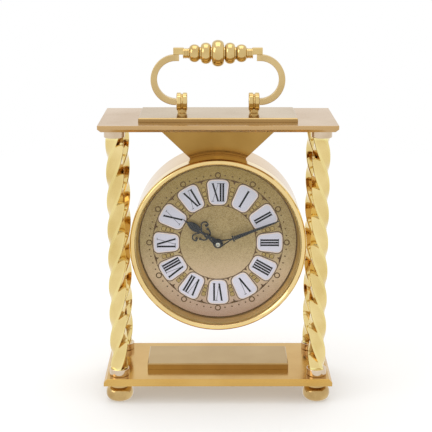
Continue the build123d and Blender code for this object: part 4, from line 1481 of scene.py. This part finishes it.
    def build(self) -> None:
        """Builds the dial's ornament on the plain plate."""
        dress("dial_plate", self.finishes.dial)
        self.plaques()
        self.numerals_and_hairlines()
        self.rings()
        self.tiles()


@dataclass
class Hands:
    """The two hands and the nut that holds them."""

    finishes: Finishes

    def build(self) -> None:
        """Gives the hands and the nut their finishes."""
        dress("hour_hand", self.finishes.blued)
        dress("minute_hand", self.finishes.blued)
        dress("hand_nut", self.finishes.nickel)


@dataclass(frozen=True)
class Bead:
    """A turned bead of the grip: its place along the grip, its width and its radius."""

    place: float
    width: float
    radius: float


@dataclass
class Handle:
    """The bail handle: knuckles, straps and the beaded grip.

    The collar is its start, its end and its radius. The turned groove is half its width at the top,
    half its width at the bottom, and its depth.
    """

    finishes: Finishes
    pad_top: float = 175.9
    knuckle_x: float = 21.7
    knuckle_width: float = 6.5
    knuckle_radius: float = 5.45
    knuckle_bore: float = 1.25
    knuckle_edge: float = 0.4
    groove_half: float = 0.75
    groove: float = 0.7
    stem_radius: float = 2.8
    stem_height: float = 1.2
    stem_end: float = 2.4
    stem_flare: float = 0.25
    arm: float = 29.0
    gap: float = 0.3
    strap_thickness: float = 3.8
    strap_width: float = 4.5
    strap_corner: float = 0.4
    strap_tail: float = 2.0
    seat_drop: float = 0.65
    beads: tuple[Bead, ...] = (Bead(0.0, 7.3, 7.94), Bead(7.2, 6.1, 6.35), Bead(14.0, 6.3, 5.3))
    bead_crown: float = 0.72
    core: float = 3.8
    fillet: float = 0.02
    collar: Point3 = (17.15, 20.85, 3.1)
    collar_edges: Point2 = (0.1, 0.12)
    collar_round: float = 0.15
    turned_groove: Point3 = (0.22, 0.1, 0.4)
    block_end: float = 26.65
    block_height: float = 4.1
    block_corner: float = 0.35
    block_face: float = 1.5
    block_overlap: float = 0.4
    rounding: float = 0.3

    @property
    def pivot(self) -> float:
        """Height of the pivot's axis."""
        return self.pad_top + self.stem_height + self.knuckle_radius

    @property
    def grip(self) -> float:
        """Height of the grip's axis."""
        return self.pivot + self.arm

    def knuckle(self, side: int) -> None:
        """Builds one knuckle: a double ring on a stem.

        Args:
            side: -1 for the left one, 1 for the right one.
        """
        half, bore = self.knuckle_width / 2, self.knuckle_bore
        rim, lip, edge = self.knuckle_radius, self.groove_half, self.knuckle_edge
        left = [(-half, bore), (-half, rim - edge), (edge - half, rim), (-lip, rim)]
        right = [(-a, r) for a, r in reversed(left)]
        turns = spaced(0, pi, 8)[1:-1]
        groove = [(lip * cos(pi - turn), rim - self.groove * sin(turn)) for turn in turns]
        section = [*soften(left, self.rounding, 3), *groove, *soften(right, self.rounding, 3), (0.0, bore)]
        mesh = PieceMesh()
        x = side * self.knuckle_x
        mesh.turn(Axis.X, Vector((x, 0, self.pivot)), section, looped=True, steps=72)
        flare, radius, end = self.stem_flare, self.stem_radius, self.stem_end
        stem = [(0.0, AXIS_HOLE), (0.0, radius + flare), (flare, radius), (end, radius), (end, AXIS_HOLE)]
        mesh.turn(Axis.Z, Vector((x, 0, self.pad_top)), stem, steps=48)
        name = "left" if side < 0 else "right"
        piece = mesh.make("knuckle_rings_" + name, self.finishes.turned, "frame")
        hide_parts("knuckle_" + name)

    def strap(self, side: int) -> None:
        """Builds one half-ring strap with softened edges.

        Args:
            side: -1 for the left one, 1 for the right one.
        """
        radius = (self.arm - self.seat_drop - self.strap_thickness / 2) / 2
        start = side * (self.knuckle_x + self.knuckle_width / 2 + self.gap)
        middle = self.pivot + radius
        path: list[Vector] = []
        sides: list[Vector] = []
        for angle in spaced(-90, 90, 48):
            turn = radians(angle)
            outwards = Vector((side * cos(turn), 0, sin(turn)))
            path.append(Vector((start, 0, middle)) + outwards * radius)
            sides.append(outwards)
        path.append(Vector((start - side * self.strap_tail, 0, middle + radius)))
        sides.append(Vector((0, 0, 1)))
        section = rectangle(self.strap_thickness, self.strap_width, self.strap_corner)
        mesh = PieceMesh()
        mesh.sweep(path, sides, Vector((0, 1, 0)), section)
        name = "left" if side < 0 else "right"
        piece = mesh.make("half_ring_" + name, self.finishes.strap, "handle")
        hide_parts("handle_strap_" + name)

    def grip_section(self) -> list[Point2]:
        """The grip's section from the middle outwards, with its beads, fillets and collar.

        Returns:
            Pairs of distance along the grip and radius.
        """
        section: list[Point2] = []
        for index, bead in enumerate(self.beads):
            half = bead.width / 2
            crown = self.bead_crown * bead.width / 2
            for turn in spaced(0, pi, 16)[0 if index else 8:]:
                section.append((bead.place - half * cos(turn), bead.radius - crown + crown * sin(turn)))
            if index + 1 < len(self.beads):
                after = self.beads[index + 1]
                start, end = bead.place + half, after.place - after.width / 2
                section += [(start + self.fillet, self.core), (end - self.fillet, self.core)]
        start, stop, radius = self.collar
        first, last = self.collar_edges
        section.append((start + first, radius))
        wide, narrow, depth = self.turned_groove
        for place in spaced(start, stop, 4)[1:-1]:
            section += [(place - wide, radius), (place - narrow, radius - depth)]
            section += [(place + narrow, radius - depth), (place + wide, radius)]
        section += [(stop - last, radius), (stop, radius - self.collar_round)]
        return section

    def build_grip(self) -> None:
        """Builds the turned grip and its two end blocks as one piece."""
        half = self.grip_section()
        section = [(-a, r) for a, r in reversed(half)] + half[1:]
        section = [(section[0][0], AXIS_HOLE), *section, (section[-1][0], AXIS_HOLE)]
        mesh = PieceMesh()
        mesh.turn(Axis.X, Vector((0, 0, self.grip)), section)
        length = self.block_end - self.collar[1] + self.block_overlap
        face, height = self.block_face, self.block_height
        profile = soften([(face, 0.0), (0.0, 0.0), (0.0, height), (face, height)], self.rounding, 3)
        for side in (-1, 1):
            seat = Basis.flat(side * (self.block_end - length / 2), 0, self.grip - self.seat_drop)
            mesh.block(seat, (length, self.strap_width), self.block_corner, profile)
        piece = mesh.make("beaded_grip", self.finishes.turned, "handle")
        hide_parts("handle_grip")

    def build(self) -> None:
        """Builds the whole handle."""
        for side in (-1, 1):
            self.knuckle(side)
            self.strap(side)
        self.build_grip()
        dress("pivot_pins", self.finishes.zinc)
        dress("handle_screws", self.finishes.zinc)


@dataclass
class Movement:
    """The quartz movement behind the dial and the screws that nobody sees from the front."""

    finishes: Finishes
    screws: tuple[str, ...] = (
        "foot_studs", "top_studs", "base_pad_screws", "top_pad_screws", "bracket_screws", "drum_screws"
    )

    def build(self) -> None:
        """Gives the movement's pieces and the screws their finishes."""
        plan = {
            "movement_case": self.finishes.black,
            "movement_back_plate": self.finishes.black,
            "setting_knob": self.finishes.black,
            "setting_wheel": self.finishes.white,
            "hour_wheel": self.finishes.white,
            "minute_arbor": self.finishes.zinc,
            "dial_posts": self.finishes.nickel,
            "movement_clips": self.finishes.nickel,
            "battery_contacts": self.finishes.nickel,
            "circuit_board": self.finishes.board,
            "drive_coil": self.finishes.copper,
            "battery": self.finishes.sleeve,
        }
        for node, material in plan.items():
            dress(node, material)
        for node in self.screws:
            dress(node, self.finishes.zinc)


@dataclass(frozen=True)
class Lamp:
    """One soft square lamp: where it hangs, its width in metres and its power in watts."""

    name: str
    place: Point3
    size: float
    power: float


@dataclass
class Studio:
    """The pale floor, the soft light and the camera, in metres; lens and sensor in millimetres."""

    eye: Point3 = (-0.00207, -0.68359, 0.2873)
    pitch: float = 14.44
    yaw: float = 0.075
    lens: float = 95.09
    sensor: float = 36.0
    near: float = 0.01
    floor_size: float = 12.0
    floor_shades: Point2 = (0.925, 0.935)
    floor_grain: float = 400.0
    floor_roughness: float = 0.95
    shadow_reach: Point2 = (0.35, 0.8)
    floor_share: float = 0.25
    world_colour: Colour = (1.0, 0.99, 0.97)
    world_light: float = 1.0
    lamps: tuple[Lamp, ...] = (
        Lamp("overhead", (0.0, 0.1, 1.6), 1.2, 5.0),
        Lamp("left_side", (-1.2, -0.6, 0.9), 0.8, 3.2),
    )
    target: Point3 = (0.0, 0.0, 0.1)

    def camera(self) -> None:
        """Places the camera where the photograph was taken from."""
        data = bpy.data.cameras.new("camera")
        data.lens = self.lens
        data.sensor_width = self.sensor
        data.clip_start = self.near
        camera = bpy.data.objects.new("camera", data)
        camera.location = self.eye
        camera.rotation_euler = Euler((radians(90.0 - self.pitch), 0.0, radians(-self.yaw)))
        bpy.context.scene.collection.objects.link(camera)
        bpy.context.scene.camera = camera

    def floor(self) -> None:
        """Lays a white floor that keeps the clock's soft shadow."""
        half = self.floor_size / 2
        corners = [(-half, -half, 0), (half, -half, 0), (half, half, 0), (-half, half, 0)]
        mesh = bpy.data.meshes.new("floor")
        mesh.from_pydata(corners, [], [(0, 1, 2, 3)])
        board = Board("floor_paper")
        shade = board.spread(board.effect(Effect.GRAIN, Scale=self.floor_grain), target=self.floor_shades)
        board.set(Base_Color=shade, Roughness=self.floor_roughness, Specular_IOR_Level=0.0)
        ray = board.add("LightPath").outputs
        bounced = board.calculate("MAXIMUM", ray["Is Glossy Ray"], ray["Is Transmission Ray"])
        distance = board.add("VectorMath", {0: board.place()}, operation="LENGTH").outputs["Value"]
        far = board.spread(distance, self.shadow_reach, (self.floor_share, 1.0))
        white = board.calculate("MULTIPLY_ADD", ray["Is Camera Ray"], far, bounced)
        board.show(board.blend(white, board.shader.outputs[0], board.add("Emission").outputs[0]))
        mesh.materials.append(board.material)
        floor = bpy.data.objects.new("floor", mesh)
        bpy.context.scene.collection.objects.link(floor)

    def world(self) -> None:
        """Lights the clock evenly from all round, on a background that shows as white."""
        world = bpy.data.worlds.new("studio")
        bpy.context.scene.world = world
        world.use_nodes = True
        graph = Graph(world.node_tree)
        graph.tree.nodes.clear()
        light = graph.add("Background", {"Color": rgba(self.world_colour), "Strength": self.world_light})
        white = graph.add("Background", {"Color": rgba((1.0, 1.0, 1.0))})
        ray = graph.add("LightPath").outputs
        seen = graph.calculate("MAXIMUM", ray["Is Camera Ray"], ray["Is Glossy Ray"])
        seen = graph.calculate("MAXIMUM", seen, ray["Is Transmission Ray"])
        graph.give(graph.add("OutputWorld"), "Surface", graph.blend(seen, light.outputs[0], white.outputs[0]))

    def light(self) -> None:
        """Hangs the lamps, all aimed at the clock."""
        for lamp in self.lamps:
            data = bpy.data.lights.new(lamp.name, "AREA")
            data.size = lamp.size
            data.energy = lamp.power
            hung = bpy.data.objects.new(lamp.name, data)
            hung.location = lamp.place
            aim = Vector(self.target) - Vector(lamp.place)
            hung.rotation_euler = aim.to_track_quat("-Z", "Y").to_euler()
            bpy.context.scene.collection.objects.link(hung)

    def build(self) -> None:
        """Sets up the whole studio."""
        bpy.context.scene.view_settings.view_transform = "Standard"
        self.camera()
        self.floor()
        self.world()
        self.light()
        LOG.info("set up the studio")


def main() -> None:
    """Builds the clock's sub-assemblies in order."""
    logging.basicConfig(level=logging.INFO, format="%(name)s: %(message)s")
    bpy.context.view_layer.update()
    finishes = Finishes()
    PlateStack(finishes).build()
    pillars = (
        ("front_left", -61.0, -22.5, Twist.RIGHT_HANDED, 8.0),
        ("front_right", 61.0, -22.5, Twist.LEFT_HANDED, 40.0),
        ("back_left", -61.0, 22.5, Twist.RIGHT_HANDED, 35.0),
        ("back_right", 61.0, 22.5, Twist.LEFT_HANDED, 15.0),
    )
    for corner, x, y, twist, ridge in pillars:
        Pillar(finishes, corner, x, y, twist, ridge).build()
    Drum(finishes).build()
    Dial(finishes).build()
    Hands(finishes).build()
    Handle(finishes).build()
    Movement(finishes).build()
    Studio().build()


if __name__ == "__main__":
    main()
